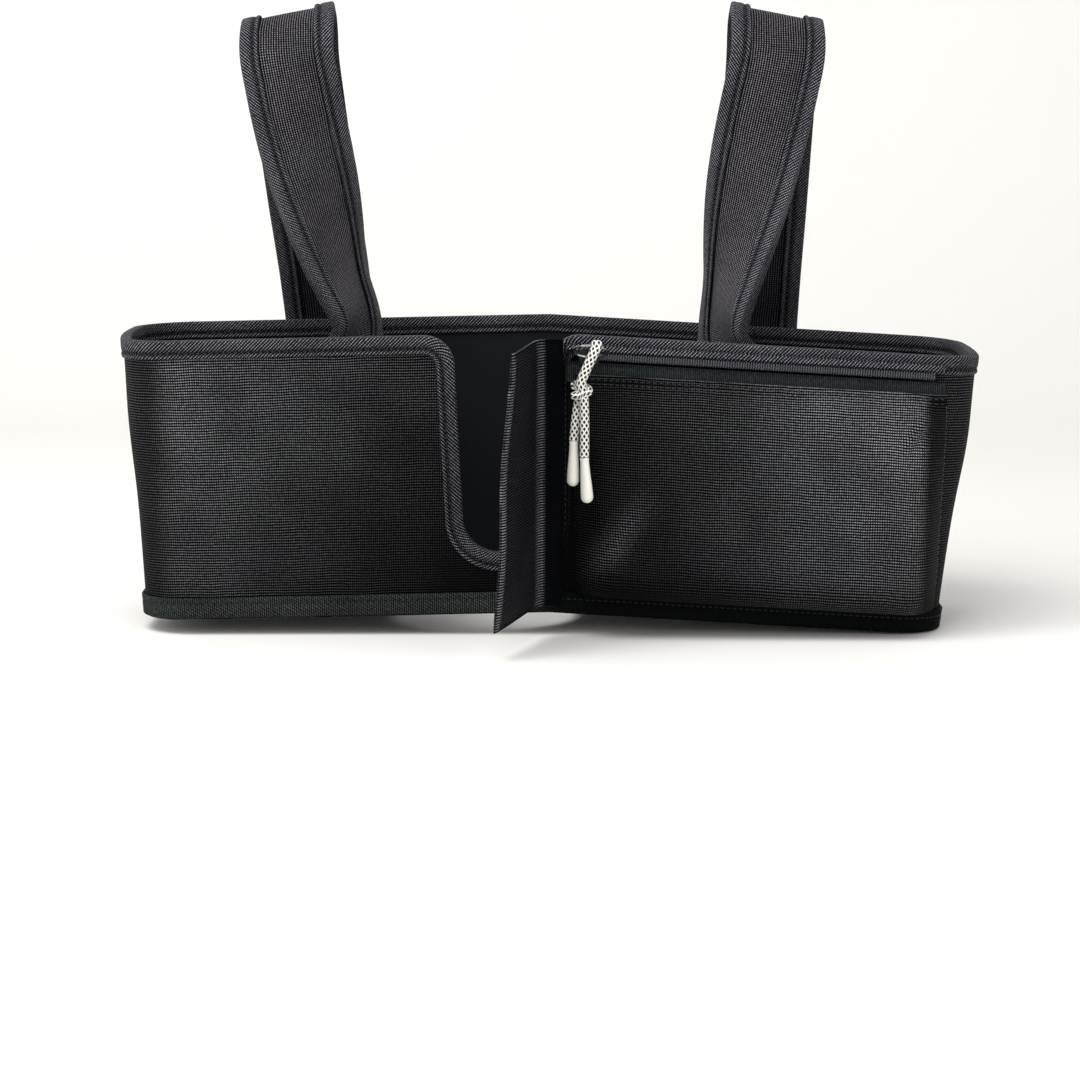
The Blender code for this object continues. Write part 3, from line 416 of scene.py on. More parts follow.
def twill(name, dark, light, pitch=1.26, lean=1.0, thread=1.05, gain=0.72):
    """Twill tape: raised diagonal yarns, u + lean * v, cut into short stitches."""
    made, tree, shader = new_material(name)
    place, u, v = mapped(tree)
    root = math.sqrt(2)
    slope = maths(tree, "DIVIDE", maths(tree, "MULTIPLY_ADD", v, lean, u), root)
    other = maths(tree, "DIVIDE", maths(tree, "MULTIPLY_ADD", v, -lean, u), root)
    sway = maths(tree, "MULTIPLY_ADD", noise(tree, place, 0.12), 0.9, -0.45)
    crest = wave(tree, maths(tree, "ADD", slope, sway), pitch)
    cuts = maths(tree, "MULTIPLY_ADD", wave(tree, other, thread), 0.45, 0.55)
    lifted = maths(tree, "MULTIPLY", crest, cuts)
    spark = glints(tree, lifted, place, 2.8, gain, 2.2, -0.3)
    weave(tree, shader, lifted, spark, (dark, light), (0.75, 0.03, 0.4), (0.0003, 0.8))
    return made


def grosgrain(name, dark, light, rib=1.05, gain=0.42, cut=0.5):
    """Ribbed tape: fine upright ribs, broken into short dashes by the share cut."""
    made, tree, shader = new_material(name)
    place, u, v = mapped(tree)
    crest = wave(tree, u, rib)
    rows = wave(tree, maths(tree, "MULTIPLY_ADD", u, 0.6, v), 1.7)
    lifted = maths(tree, "MULTIPLY", crest, maths(tree, "MULTIPLY_ADD", rows, cut, 1 - cut))
    spark = glints(tree, lifted, place, 1.6, gain, 2.0, -0.2)
    weave(tree, shader, lifted, spark, (dark, light), (0.8, 0.03, 0.3), (0.00025, 0.6))
    return made


def plain_weave(name, dark, light, roughness=0.6):
    """Close plain-woven lining: threads under half a millimetre, soft sheen, faint creases. The crease noise
    also mixes the colour, a painted shade darker in the creases' hollows.
    """
    made, tree, shader = new_material(name)
    place, u, v = mapped(tree)
    threads = maths(tree, "MULTIPLY", wave(tree, u, 0.42), wave(tree, v, 0.42))
    crease_and_shade = noise(tree, place, 0.02, 3.0)
    # Painted shade: the colour follows the crease noise, darker where the crease is low.
    colour = mix_colour(tree, crease_and_shade, dark, light)
    fill(tree, shader, {"Base Color": colour, "Roughness": roughness})
    fill(tree, shader, {"Specular IOR Level": 0.12, "Sheen Weight": 0.05})
    raise_surface(tree, shader, maths(tree, "MULTIPLY_ADD", crease_and_shade, 8.0, threads), 0.00012, 0.5)
    return made


def braid(name):
    """Braided cord: two families of yarns that cross, white with dark diamonds between."""
    made, tree, shader = new_material(name)
    place, u, v = mapped(tree)
    around = maths(tree, "MULTIPLY", v, 1.0 / BRAID_AROUND)
    ahead = maths(tree, "MULTIPLY", u, 1.0 / BRAID_PITCH)
    one = wave(tree, maths(tree, "ADD", ahead, around), 1.0)
    two = wave(tree, maths(tree, "SUBTRACT", ahead, around), 1.0)
    white = maths(tree, "MAXIMUM", one, two)
    inked = node(tree, "ShaderNodeMapRange", {"Value": white, "From Min": 0.60, "From Max": 0.84}).outputs[0]
    fill(tree, shader, {"Base Color": mix_colour(tree, inked, "#17130f", "#f2efe9"), "Roughness": 0.75})
    raise_surface(tree, shader, white, 0.0004, 0.8)
    return made


def moulded(name, colour, shade, roughness):
    """Moulded plastic: slight mottling in colour and a faint orange peel."""
    made, tree, shader = new_material(name)
    place = node(tree, "ShaderNodeTexCoord").outputs["Object"]
    mottle = noise(tree, place, 160.0, 3.0)
    fill(tree, shader, {"Base Color": mix_colour(tree, mottle, colour, shade), "Roughness": roughness})
    fill(tree, shader, {"Subsurface Weight": 0.08, "Subsurface Radius": (0.002, 0.0015, 0.001)})
    raise_surface(tree, shader, noise(tree, place, 2500.0), 0.00003, 0.4)
    return made


def plated(name, colour, shade, roughness=0.24):
    """Nickel-plated die casting: bright, with soft wear that dulls it in patches."""
    made, tree, shader = new_material(name)
    place = node(tree, "ShaderNodeTexCoord").outputs["Object"]
    worn = noise(tree, place, 420.0, 4.0)
    rough = maths(tree, "MULTIPLY_ADD", worn, 0.2, roughness - 0.1)
    colours = mix_colour(tree, worn, colour, shade)
    fill(tree, shader, {"Base Color": colours, "Metallic": 1.0, "Roughness": rough})
    return made


BRAID_AROUND = 14.137 / 6
BRAID_PITCH = 3.4

# The second colour of each ribbed, twill and grosgrain weave is a painted highlight: the grey glint mixed
# into the crests where lit allows. FLAP_CANVAS is the same canvas with a slightly lighter dark, a copy for
# the flap's different lighting. In LINING and LOOPS the lighter colour is painted light on the crease crests.
CANVAS = ribbed("ribbed_coated_canvas", "#030304", "#b4b6ba")
FLAP_CANVAS = ribbed("ribbed_flap_canvas", "#06070a", "#b4b6ba")
STRAP_CANVAS = ribbed("ribbed_strap_canvas", "#08080b", "#b0abb5", rib=1.22, gain=1.2)
TWILL = twill("twill_binding", "#06070a", "#a9aab4", lean=-1.0, gain=0.9)
STRAP_TWILL = twill("twill_strap_binding", "#06070a", "#a9aab4", pitch=1.15, lean=-1.0, gain=1.15)
GROSGRAIN = grosgrain("grosgrain_tape", "#040606", "#7a827f")
LINING = plain_weave("woven_lining", "#06080c", "#10131a")
ZIP_WEAVE = grosgrain("zipper_tape_weave", "#0b0d0e", "#41474a", rib=0.9, gain=0.7, cut=0.1)
LOOPS = plain_weave("hook_and_loop", "#060607", "#0c0c0f", roughness=0.95)
COIL = moulded("nylon_coil", "#33343a", "#43444c", 0.25)
THREAD = moulded("spun_thread", "#101114", "#1d1e23", 0.6)
CORD = braid("braided_cord")
IVORY = moulded("ivory_tip", "#f1eee8", "#e6e2d9", 0.38)
NICKEL = plated("nickel_plate", "#d9d8d4", "#a9a7a1")
BLACK_NICKEL = plated("black_nickel_plate", "#3a3a3e", "#232327", 0.3)
print(len(bpy.data.materials), "materials")


# %% [markdown]
# ## The pull's cord
# A round braided cord is folded over the ring, knotted, and each tail ends in a moulded tip.
# The product's own length of cord is about eleven centimetres, twice from the ring to a tip.

# %% Cords of the zipper pull
SLIDER_X, ZIP_DROP, ZIP_STANDOFF = 0.0190, 0.0098, 0.0040
PIVOT_DEPTH, RING_RADIUS, RING_WIRE, RING_RISE = 0.0028, 0.0082, 0.0006, 24.0
CORD_RADIUS, FOLD_X, FOLD_FLATTENED = 0.00225, 0.0029, 0.5
LOOP_HALF_WIDTH, LOOP_SHOULDER = 0.0026, 0.0035
KNOT_X, KNOT_DROP, KNOT_SIZE = -0.0038, 0.0209, np.array([0.0105, 0.0096, 0.0090])
TAILS = {
    "left": ((-0.0014, 0.0019, -0.0060), (-0.0027, 0.0019, -0.0140), (-0.0036, 0.0018, -0.0238)),
    "right": ((0.0011, -0.0019, -0.0060), (0.0014, -0.0019, -0.0180), (0.0013, -0.0018, -0.0314)),
}
TIP_MOUTH, TIP_LEAN = 0.00205, {"left": (0.0002, -0.0003), "right": (-0.0006, 0.0009)}

zip_along = unit(np.array([1.0, 0.0, -RIGHT_DROOP]))
zip_up = np.cross(zip_along, (0.0, 1.0, 0.0))
pivot = hung([SLIDER_X, -RIM_DEPTH / 2 - ZIP_STANDOFF - PIVOT_DEPTH, RIM_HEIGHT - ZIP_DROP])
ring_ahead = zip_up * math.sin(math.radians(RING_RISE)) - np.array([0, math.cos(math.radians(RING_RISE)), 0])
ring_reach = RING_RADIUS + math.sqrt(RING_RADIUS**2 - FOLD_X**2)
fold_place = pivot + FOLD_X * zip_along + ring_reach * ring_ahead
knot = np.array([pivot[0] + KNOT_X, fold_place[1], fold_place[2] - KNOT_DROP])
print("fold, mm:", (fold_place * 1000).round(1), "knot, mm:", (knot * 1000).round(1))


def frames_along(path):
    """Two directions square to a path at each point, the first kept as close as can be to +X."""
    along = unit(np.gradient(path, axis=0))
    first = unit(np.array([1.0, 0.0, 0.0]) - along * along[:, :1])
    return first, np.cross(along, first)


def tube(name, path, radius, finish, body, sides=24):
    """A round tube: path + radius * (a cos t + b sin t), where a and b are square to the path.
    A radius of two rows is the half width and half depth of a flattened cord."""
    a, b = frames_along(path)
    t = np.linspace(0, 2 * math.pi, sides, endpoint=False)[:, None]
    wide, deep = np.broadcast_to(radius, (2, len(path)))[..., None, None]
    ring = a[:, None] * np.cos(t) * wide + b[:, None] * np.sin(t) * deep
    return swept(name, path[:, None] + ring, finish, body)


def cord_route(side, sign):
    """Half of the cord: from the top of the ring's wire, down to the knot, and on to its tip."""
    bend = RING_WIRE + SEAT + CORD_RADIUS * FOLD_FLATTENED
    turns = np.radians([90, 60, 30, 0])
    arch = fold_place + np.column_stack([np.zeros(4), sign * bend * np.cos(turns), bend * np.sin(turns)])
    neck = knot + (0, 0, KNOT_SIZE[2] / 2 + SEAT)
    shoulder = lerp(fold_place, neck, LOOP_SHOULDER / (fold_place[2] - neck[2]))
    wide = np.array([0.0, sign * LOOP_HALF_WIDTH, 0.0])
    tail = [knot + np.array(offset) for offset in TAILS[side]]
    leave = np.array([tail[0][0], tail[0][1], knot[2] - KNOT_SIZE[2] / 2 - SEAT])
    inside = lerp(neck + wide, leave, 0.5)
    route = [*arch, shoulder + wide, neck + wide, inside, leave, tail[1], tail[2]]
    return smooth_route(route, (3, 3, 3, 4, 10, 4, 4, 10, 10))


def pull_cord(side, sign):
    """Half of the cord as a round tube, flattened to FOLD_FLATTENED of its depth at the ring."""
    path = cord_route(side, sign)
    squeeze = 1 - ease(fold_place[2] - path[:, 2], -0.001, LOOP_SHOULDER)
    girth = CORD_RADIUS * 0.99 * np.stack([1 + 0.10 * squeeze, 1 - (1 - FOLD_FLATTENED) * squeeze])
    piece = tube(f"cord_{side}", path, girth, CORD, "pull")
    return stand_in(piece, "braided_cord", f"pull_cord_{side}", "pull_cord_loop"), path


def ivory_tip(side):
    """A moulded cap: a lip at its mouth, a cone that widens downwards, and a domed end."""
    low, high = (np.array(c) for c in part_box(f"pull_tip_{side}"))
    length, wide = high[2] - low[2], (high[0] - low[0]) / 2
    lip = [0.0, 0.00008, 0.0003, 0.0008, 0.0011, 0.0014]
    down = np.concatenate([lip, np.linspace(0.003, length - wide, 7)])
    cone = lerp(TIP_MOUTH, wide, ease(down, 0.0, length * 0.95))
    cone[:6] += np.array([-0.0005, -0.0001, 0.0001, 0.00012, 0.00008, 0.0])
    dome = np.radians([12, 25, 38, 51, 64, 76, 86])
    down = np.concatenate([down, length - wide + wide * np.sin(dome)])
    radius = np.concatenate([cone, wide * np.cos(dome)])
    centre = (low + high) / 2
    x = centre[0] + lerp(*TIP_LEAN[side], down / length)
    path = np.column_stack([x, np.full(len(down), centre[1]), high[2] - down])
    piece = tube(f"tip_{side}", path, radius, IVORY, "pull", sides=40)
    return stand_in(piece, "moulded_tip", f"pull_tip_{side}")


def make_knot():
    """An overhand knot: one fat turn of cord that climbs round the two strands, from its low
    left over the front to the right, and behind them to its high left."""
    wide, deep, tall = KNOT_SIZE / 2 - CORD_RADIUS * 0.95
    t = np.linspace(-1.12 * math.pi, 1.12 * math.pi, 60)
    turn = knot + np.column_stack([wide * np.cos(t), deep * np.sin(t), tall * np.sin(t / 2.24) * 1.05])
    piece = tube("knot_turn", turn, CORD_RADIUS * 0.98, CORD, "pull")
    return [stand_in(piece, "braided_cord", "pull_knot")]


knots = make_knot()
for side, sign in (("left", 1), ("right", -1)):
    cord_piece, path = pull_cord(side, sign)
    tip = ivory_tip(side)


# %% [markdown]
# ## Walls
# The walls are one band of ribbed canvas over foam, folded round the ends and sewn to the
# back. The ribs run level, so the map's second value is the height above the floor.

# %% Walls
ARC_STEPS, RUN_STEPS, END_RUN = 14, 64, 12
BOW_LEFT, BOW_RIGHT, BOW_MIDDLE, BOW_REACH = 0.0045, 0.0030, 0.015, 0.055
NOTCH_LEFT_TOP, NOTCH_LEFT_LOW, NOTCH_RIGHT, NOTCH_BOTTOM = -0.0475, -0.0420, 0.0030, 0.029
NOTCH_RADII, NOTCH_STEPS = (0.014, 0.019, 0.016, 0.012), 14


def front_y(z):
    """Depth of the front wall's outer face: -lerp(floor depth, rim depth, z / rim height) / 2."""
    return -lerp(BASE_DEPTH, RIM_DEPTH, z / RIM_HEIGHT) / 2


def notch_path():
    """The wall's top edge as (x, z): down into the notch and up again, with rounded corners."""
    corners = (
        (NOTCH_LEFT_TOP - 0.020, WALL_TOP), (NOTCH_LEFT_TOP, WALL_TOP), (NOTCH_LEFT_LOW, NOTCH_BOTTOM),
        (NOTCH_RIGHT, NOTCH_BOTTOM), (NOTCH_RIGHT, WALL_TOP), (NOTCH_RIGHT + 0.020, WALL_TOP),
    )
    return rounded(corners, NOTCH_RADII, NOTCH_STEPS)[1:-1]


def plan(level, inset):
    """Plan points round the tray at its floor (level 0) or rim (1), from the back-left seam
    by the front to the back-right seam, then along the back. The rim's soft ends are bowed by
    bow * (1 - ((y - middle) / reach)^2)."""
    left, right = (lerp(BASE_LEFT, RIM_LEFT, level) + inset, lerp(BASE_RIGHT, RIM_RIGHT, level) - inset)
    front = -lerp(BASE_DEPTH, RIM_DEPTH, level) / 2 + inset
    radius = CORNER_RADIUS - inset
    places = ((left + radius, -front - radius), (left + radius, front + radius))
    places += ((right - radius, front + radius), (right - radius, -front - radius))
    turns = np.radians(np.linspace(0, 90, ARC_STEPS + 1))
    runs = []
    for i, (x, y) in enumerate(places):
        angle = math.radians(90 * (i + 1)) + turns
        arc = np.column_stack([x + radius * np.cos(angle), y + radius * np.sin(angle)])
        nx, ny = places[(i + 1) % 4]
        last = math.radians(90 * (i + 2))
        ahead = np.array([nx + radius * math.cos(last), ny + radius * math.sin(last)])
        steps = END_RUN if i % 2 == 0 else RUN_STEPS
        share = np.linspace(0, 1, steps + 1)[1:-1, None]
        run = lerp(arc[-1], ahead, share)
        if i == 1:
            spread = (RIM_LEFT + CORNER_RADIUS, -0.08, 0.03, RIM_RIGHT - CORNER_RADIUS)
            columns = front_columns()
            run_x = np.interp(columns, spread, (arc[-1][0], -0.08, 0.03, ahead[0]))
            run = np.column_stack([run_x, np.full(len(columns), arc[-1][1])])
        runs += [arc, run]
    made = np.concatenate(runs)
    over_left = np.clip((left + radius - made[:, 0]) / radius, 0, 1)
    over_right = np.clip((made[:, 0] - right + radius) / radius, 0, 1)
    bow = np.maximum(0, 1 - ((made[:, 1] - BOW_MIDDLE) / BOW_REACH) ** 2) * level
    made[:, 0] += bow * (BOW_RIGHT * over_right - BOW_LEFT * over_left)
    return made


def ring_at(inset, z):
    """The walls' outline at one height: lerp(floor plan, rim plan, z / rim height)."""
    low = plan(0.0, inset)
    return np.column_stack([lerp(low, plan(1.0, inset), z / RIM_HEIGHT), np.full(len(low), z)])


def front_columns():
    """Places of the front's columns along the rim, close together at the notch's two sides."""
    edge = notch_path()[:, 0]
    even = np.linspace(RIM_LEFT + CORNER_RADIUS, RIM_RIGHT - CORNER_RADIUS, RUN_STEPS + 1)[1:-1]
    near = np.linspace(NOTCH_RIGHT - 0.002, NOTCH_RIGHT + 0.0015, 6)
    return np.unique(np.concatenate([even, edge, near]).round(5))


BAND = 4 * (ARC_STEPS + 1) + 2 * (END_RUN - 1) + len(front_columns())


def wall_points(z, inset, swell):
    """Points (stations, heights, 3) of the wall: lerp(floor plan, rim plan, z / rim height)."""
    share = (z / RIM_HEIGHT)[..., None]
    low, high = plan(0.0, inset), plan(1.0, inset)
    places = lerp(low[:, None], high[:, None], share)
    away = unit(high - plan(1.0, inset + 0.002))
    return np.concatenate([places + away[:, None] * np.asarray(swell)[..., None], z[..., None]], axis=2)


def ripple(s, z, end):
    """Slow unevenness of soft walls in metres: three sines, still at the seam and the rim, and
    a bulge at each end, where end is -1 at the left end, 1 at the right and 0 between."""
    still = np.sin(np.clip(z / WALL_TOP, 0, 1) * math.pi)
    waves = np.sin(s * 41 + 0.6) + 0.7 * np.sin(s * 23 + z * 31) + 0.5 * np.sin(s * 77 - z * 19)
    high = np.exp(-(((z / WALL_TOP - 0.70) / 0.20) ** 2))
    return 0.0005 * waves * still + (0.0022 * np.maximum(end, 0) + 0.0012 * np.maximum(-end, 0)) * high


# Levels of painted light: painted shade in the recess beside the flap and on the back wall.
RECESS_LIGHT, BACK_LIGHT = 0.03, 0.45


def wall_light(points):
    """Painted light on the wall's crests: brightest at the high left, nearly none in the recess by the flap,
    dimmer at the far left, at the right end and low down, and BACK_LIGHT on the back wall.
    """
    x, z = points[..., 0], points[..., 2] / RIM_HEIGHT
    t = np.clip((x + 0.185) / 0.135, 0, 1)
    lit = 0.8 * (1 - 0.72 * t) * (0.38 + 0.62 * z) * (1 - 0.68 * t * (1 - z))
    lit = lerp(lit, RECESS_LIGHT, ease(x, -0.004, 0.002)) * (1 - 0.72 * ease(-x, 0.178, 0.194))
    lit = lerp(lit, 0.08 + 0.16 * z, ease(x, 0.170, 0.195))
    return lerp(lit, BACK_LIGHT, ease(points[..., 1], -0.030, 0.010))


def make_walls():
    """Both faces of the wall in one closed section for each plan point: front band and back."""
    rows = 34
    count = len(plan(1.0, 0.0))
    ring = np.append(np.arange(count), 0)
    s = run_length(plan(1.0, 0.0)[ring, None], 0) / 1000
    top = np.full(count, WALL_TOP)
    edge = notch_path()
    high = plan(1.0, 0.0)
    front = np.abs(high[:, 1] - high[:, 1].min()) < 1e-6
    front &= (high[:, 0] > edge[0, 0]) & (high[:, 0] < edge[-1, 0])
    order = np.argsort(edge[:, 0], kind="stable")
    top[front] = np.interp(high[front, 0], edge[order, 0], edge[order, 1])
    z = np.linspace(0, 1, rows)[None] * top[:, None]
    facing = unit(high - plan(1.0, 0.002))
    swell = ripple(s[:-1, None], z, (facing[:, 0] ** 3)[:, None])
    outer = wall_points(z, 0.0, swell)
    inner = wall_points(z[:, ::-1], WALL, swell[:, ::-1])
    sections = np.concatenate([outer, inner], axis=1)[ring]
    top = top[ring]
    u = np.broadcast_to(s[:, None] * 1000, (count + 1, 2 * rows))
    v = sections[:, :, 2] * 1000
    uv = np.concatenate([np.stack([u, v], axis=2), np.stack([u, v], axis=2)[:, :1]], axis=1)
    for name, part in (("front_band", slice(0, BAND)), ("back_wall", slice(BAND - 1, count + 1))):
        # Painted light and shade for the wall's crests.
        painted_light = wall_light(sections[part])
        skin = surface(
            f"{name}_skin", hung(sections[part]), uv[part], CANVAS,
            closed=(False, True), caps=True, flip=True, lit=painted_light,
        )
        skin.data.materials.append(LINING)
        inside = np.zeros((len(uv[part]) - 1, 2 * rows), dtype=np.int32)
        inside[:, rows:-1] = 1
        inside = np.append(inside.ravel(), (0, 0)).astype(np.int32)
        skin.data.polygons.foreach_set("material_index", inside)
        stand_in(skin, "ribbed_fabric", name)


make_walls()


# %% [markdown]
# ## Bound edges
# Twill tape is folded over the rim and runs down round the notch. It is sewn through near
# its inner edge, which leaves a groove and a soft ridge below it.

# %% Rim binding, bottom tape and stitches
TAPE_RIDGE, TAPE_SEAM = 0.0024, 0.0029


def folded_tape(leg, half_gap, thickness):
    """Profile of a folded tape as (across, out), with painted light for each corner: painted highlights on
    the loose ridge and crown, painted shade in the sewn groove and on the inside. The corners are the loose
    ridge, sewn groove, flat face and crown, then the same down the back, and the inside."""
    out, crown = half_gap + thickness, SEAT + thickness
    soft = thickness * 0.7
    groove = -leg + TAPE_SEAM
    face = [
        (out - 0.0004, -leg), (out + 0.0001, -leg + 0.0005), (out + 0.0002, -leg + TAPE_RIDGE * 0.5),
        (out - 0.0001, -leg + TAPE_RIDGE * 0.85), (out - 0.00075, groove), (out, groove + 0.0007),
        (out + 0.0001, groove + 0.002), (out, crown - soft * 1.5),
        (out - soft * 0.3, crown - soft * 0.35), (out - soft * 1.1, crown),
    ]
    back = [(-x, y) for x, y in face[::-1]]
    inside = [(-half_gap, -leg), (-half_gap, SEAT), (half_gap, SEAT), (half_gap, -leg)]
    # Painted light per corner: 0 is painted shade, above 1 a painted highlight.
    painted_light = [0.3, 0.8, 1.1, 0.5, 0.0, 0.45, 0.9, 1.0, 1.05, 1.0]
    return np.array(face + back + inside), np.array(painted_light + painted_light[::-1] + [0.0] * 4)


STITCH_PITCH, STITCH_LENGTH, STITCH_RADIUS = 0.0030, 0.0021, 0.00026


def stitches(name, path, away, finish=THREAD):
    """A row of thread stitches: small capsules, one every pitch along the path, each bowed up."""
    marks = resample(np.concatenate([path, away], axis=1), STITCH_PITCH)
    middle, up = marks[:, :3], unit(marks[:, 3:])
    along = unit(np.gradient(middle, axis=0))
    side = unit(np.cross(along, up))
    t = np.array([-1.0, -0.85, -0.4, 0.4, 0.85, 1.0])
    girth = np.array([0.15, 0.75, 1.0, 1.0, 0.75, 0.15]) * STITCH_RADIUS
    turn = np.linspace(0, 2 * math.pi, 6, endpoint=False)
    rise = STITCH_RADIUS * (0.9 - 1.4 * t**2)
    points = (
        middle[:, None, None] + along[:, None, None] * (t * STITCH_LENGTH / 2)[None, :, None, None]
        + up[:, None, None] * (rise[:, None] + girth[:, None] * np.cos(turn))[None, :, :, None]
        + side[:, None, None] * (girth[:, None] * np.sin(turn))[None, :, :, None]
    )
    count = len(middle)
    index = np.arange(36).reshape(6, 6)
    nxt = np.roll(index, -1, axis=1)
    quads = np.stack([index[:-1], nxt[:-1], nxt[1:], index[1:]], axis=2).reshape(-1, 4)
    faces = (quads[None] + (np.arange(count) * 36)[:, None, None]).reshape(-1, 4)
    obj = new_object(name, points, faces.tolist(), finish)
    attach(obj, "tray")
    print(f"{name}: {count} stitches")
    return obj


def make_rim():
    """The folded tape carried along the rim, whose path dips into the notch."""
    rim = ring_at(WALL / 2, WALL_TOP)
    up = unit(rim - ring_at(WALL / 2, WALL_TOP - RIM_TAPE_LEG))
    edge = notch_path()
    dip = np.column_stack([edge[:, 0], front_y(edge[:, 1]) + WALL / 2, edge[:, 1]])
    dip = densify(dip, 0.004)
    front_up = up[BAND // 2]
    front = np.abs(rim[:, 1] - rim[:, 1].min()) < 1e-6
    margin = RIM_TAPE_LEG / 2
    dropped = front & (rim[:, 0] > dip[0, 0] - margin) & (rim[:, 0] < dip[-1, 0] + margin)
    first, last = np.flatnonzero(dropped)[[0, -1]]
    path = np.concatenate([rim[:first], dip, rim[last + 1 :]])
    up = np.concatenate([up[:first], np.tile(front_up, (len(dip), 1)), up[last + 1 :]])
    ahead, behind = np.roll(path, -1, axis=0), np.roll(path, 1, axis=0)
    along = unit(unit(ahead - path) + unit(path - behind))
    normal = np.cross(along, up)
    normal[first : first + len(dip)] = np.cross((1.0, 0.0, 0.0), front_up)
    normal = unit(normal)
    out = unit(np.cross(normal, along))
    profile, painted_light = folded_tape(RIM_TAPE_LEG, WALL / 2 + SEAT, TAPE)
    # Painted shade: the tape's crests go dark in the recess beside the flap, below the rim's top.
    recess = ease(path[:, 0], -0.004, 0.002) * (1 - ease(path[:, 0], 0.010, 0.016))
    light = (1 - 0.95 * recess * (1 - ease(path[:, 2], 0.118, 0.132)))[:, None] * painted_light
    sections = hung(carried(path, normal, out, profile))
    stand_in(swept("rim_tape", sections, TWILL, closed=True, lit=light), "binding_tape", "rim_binding")
    reach = WALL / 2 + SEAT + TAPE
    groove = -RIM_TAPE_LEG + TAPE_SEAM
    for name, side in (("rim_stitches_outer", 1), ("rim_stitches_inner", -1)):
        row = hung(path + normal * side * (reach - 0.0006) + out * groove)
        stitches(name, row, normal * side)


def densify(path, pitch):
    """The path with extra points wherever two of its points lie more than a pitch apart."""
    made = [path[:1]]
    for a, b in zip(path, path[1:]):
        count = max(1, int(np.ceil(np.linalg.norm(b - a) / pitch)))
        made.append(lerp(a, b, np.linspace(0, 1, count + 1)[1:, None]))
    return np.concatenate(made)


def make_bottom_tape():
    """A tape sewn flat over the bottom seam, with a groove under its upper edge."""
    low, high, thick = 0.0008, 0.0108, 0.0015
    heights = np.array([low, low, low + 0.0004, 0.0040, 0.0068, 0.0074, 0.0080, high - 0.0004, high, high])
    depths = -SEAT - np.array([0.0, 0.8, 1.0, 1.0, 1.0, 0.55, 1.0, 1.0, 0.7, 0.0]) * thick
    sections = np.stack([ring_at(d, z) for z, d in zip(heights, depths)], axis=1)
    # Painted shadow: the tape's glints nearly vanish under the pocket, on the front right of the tray.
    under = ease(sections[..., 0], -0.03, 0.01) * (sections[..., 1] < -0.04)
    tape = swept("bottom_tape", hung(sections), GROSGRAIN, closed=True, flip=True, lit=1 - 0.9 * under)
    stand_in(tape, "bottom_tape", "bottom_binding")
    seam, groove = -SEAT - thick * 0.7, heights[5]
    away = ring_at(seam - 0.001, 0.0) - ring_at(seam, 0.0)
    stitches("bottom_stitches", hung(ring_at(seam, groove)), away)


make_rim()
make_bottom_tape()

# %% [markdown]
# ## Floor, dividers and the cup's hole
# The floor is a stiff board in lining cloth. A round hole, bound with tape, lets a tall cup
# hang through it, and three cloth dividers keep the cup and a bottle upright.

# %% Floor and dividers
BASE_THICKNESS = 0.0030
CUP_X, CUP_HOLE_RADIUS, CUP_TAPE_WIDTH = -0.0335, 0.0430, 0.0045
DIVIDER_HEIGHT, DIVIDER_DIP, DIVIDER_THICKNESS = 0.088, 0.006, 0.0020


def make_floor():
    """Rings from the hole's edge to the walls: lerp(circle, outline, share)."""
    outline = plan(0.0, WALL + SEAT)
    outline = outline - (CUP_X, 0.0)
    angles = np.arctan2(outline[:, 1], outline[:, 0])
    order = np.argsort(angles)
    angles, reach = angles[order], np.linalg.norm(outline, axis=1)[order]
    hole = CUP_HOLE_RADIUS + TAPE + SEAT
    share = np.linspace(0, 1, 24)
    radius = lerp(hole, reach[:, None], share)
    x, y = CUP_X + radius * np.cos(angles)[:, None], radius * np.sin(angles)[:, None]
    top = np.stack([x, y, np.full_like(x, BASE_THICKNESS)], axis=2)
    bottom = top - (0, 0, BASE_THICKNESS)
    sections = np.concatenate([top, bottom[:, ::-1]], axis=1)
    uv = np.concatenate([sections[..., :2], sections[:, :1, :2]], axis=1) * 1000
    uv = np.concatenate([uv, uv[:1]])
    floor = surface("floor", hung(sections), uv, LINING, closed=(True, True))
    stand_in(floor, "lining", "base_panel")


def make_hole_tape():
    """The hole's binding: a sleeve through the floor with a rounded flange above it."""
    near, far = CUP_HOLE_RADIUS, CUP_HOLE_RADIUS + TAPE
    flange = far + CUP_TAPE_WIDTH
    low, seat, top = SEAT, BASE_THICKNESS + SEAT, BASE_THICKNESS + SEAT + TAPE
    profile = [
        (near, low), (near, top - TAPE * 0.6), (near + TAPE * 0.2, top - TAPE * 0.15),
        (near + TAPE * 0.7, top), (flange - 0.0018, top), (flange - 0.0014, top - 0.0004),
        (flange - 0.0010, top), (flange, top - 0.0003), (flange, seat), (far, seat), (far, low),
    ]
    turns = np.linspace(0, 2 * math.pi, 96, endpoint=False)[:, None]
    r, z = np.array(profile).T
    x, y, z = np.broadcast_arrays(CUP_X + r * np.cos(turns), r * np.sin(turns), z)
    tape = swept("cup_hole_tape", hung(np.stack([x, y, z], axis=2)), TWILL, closed=True)
    stand_in(tape, "binding_tape", "cup_hole_binding")


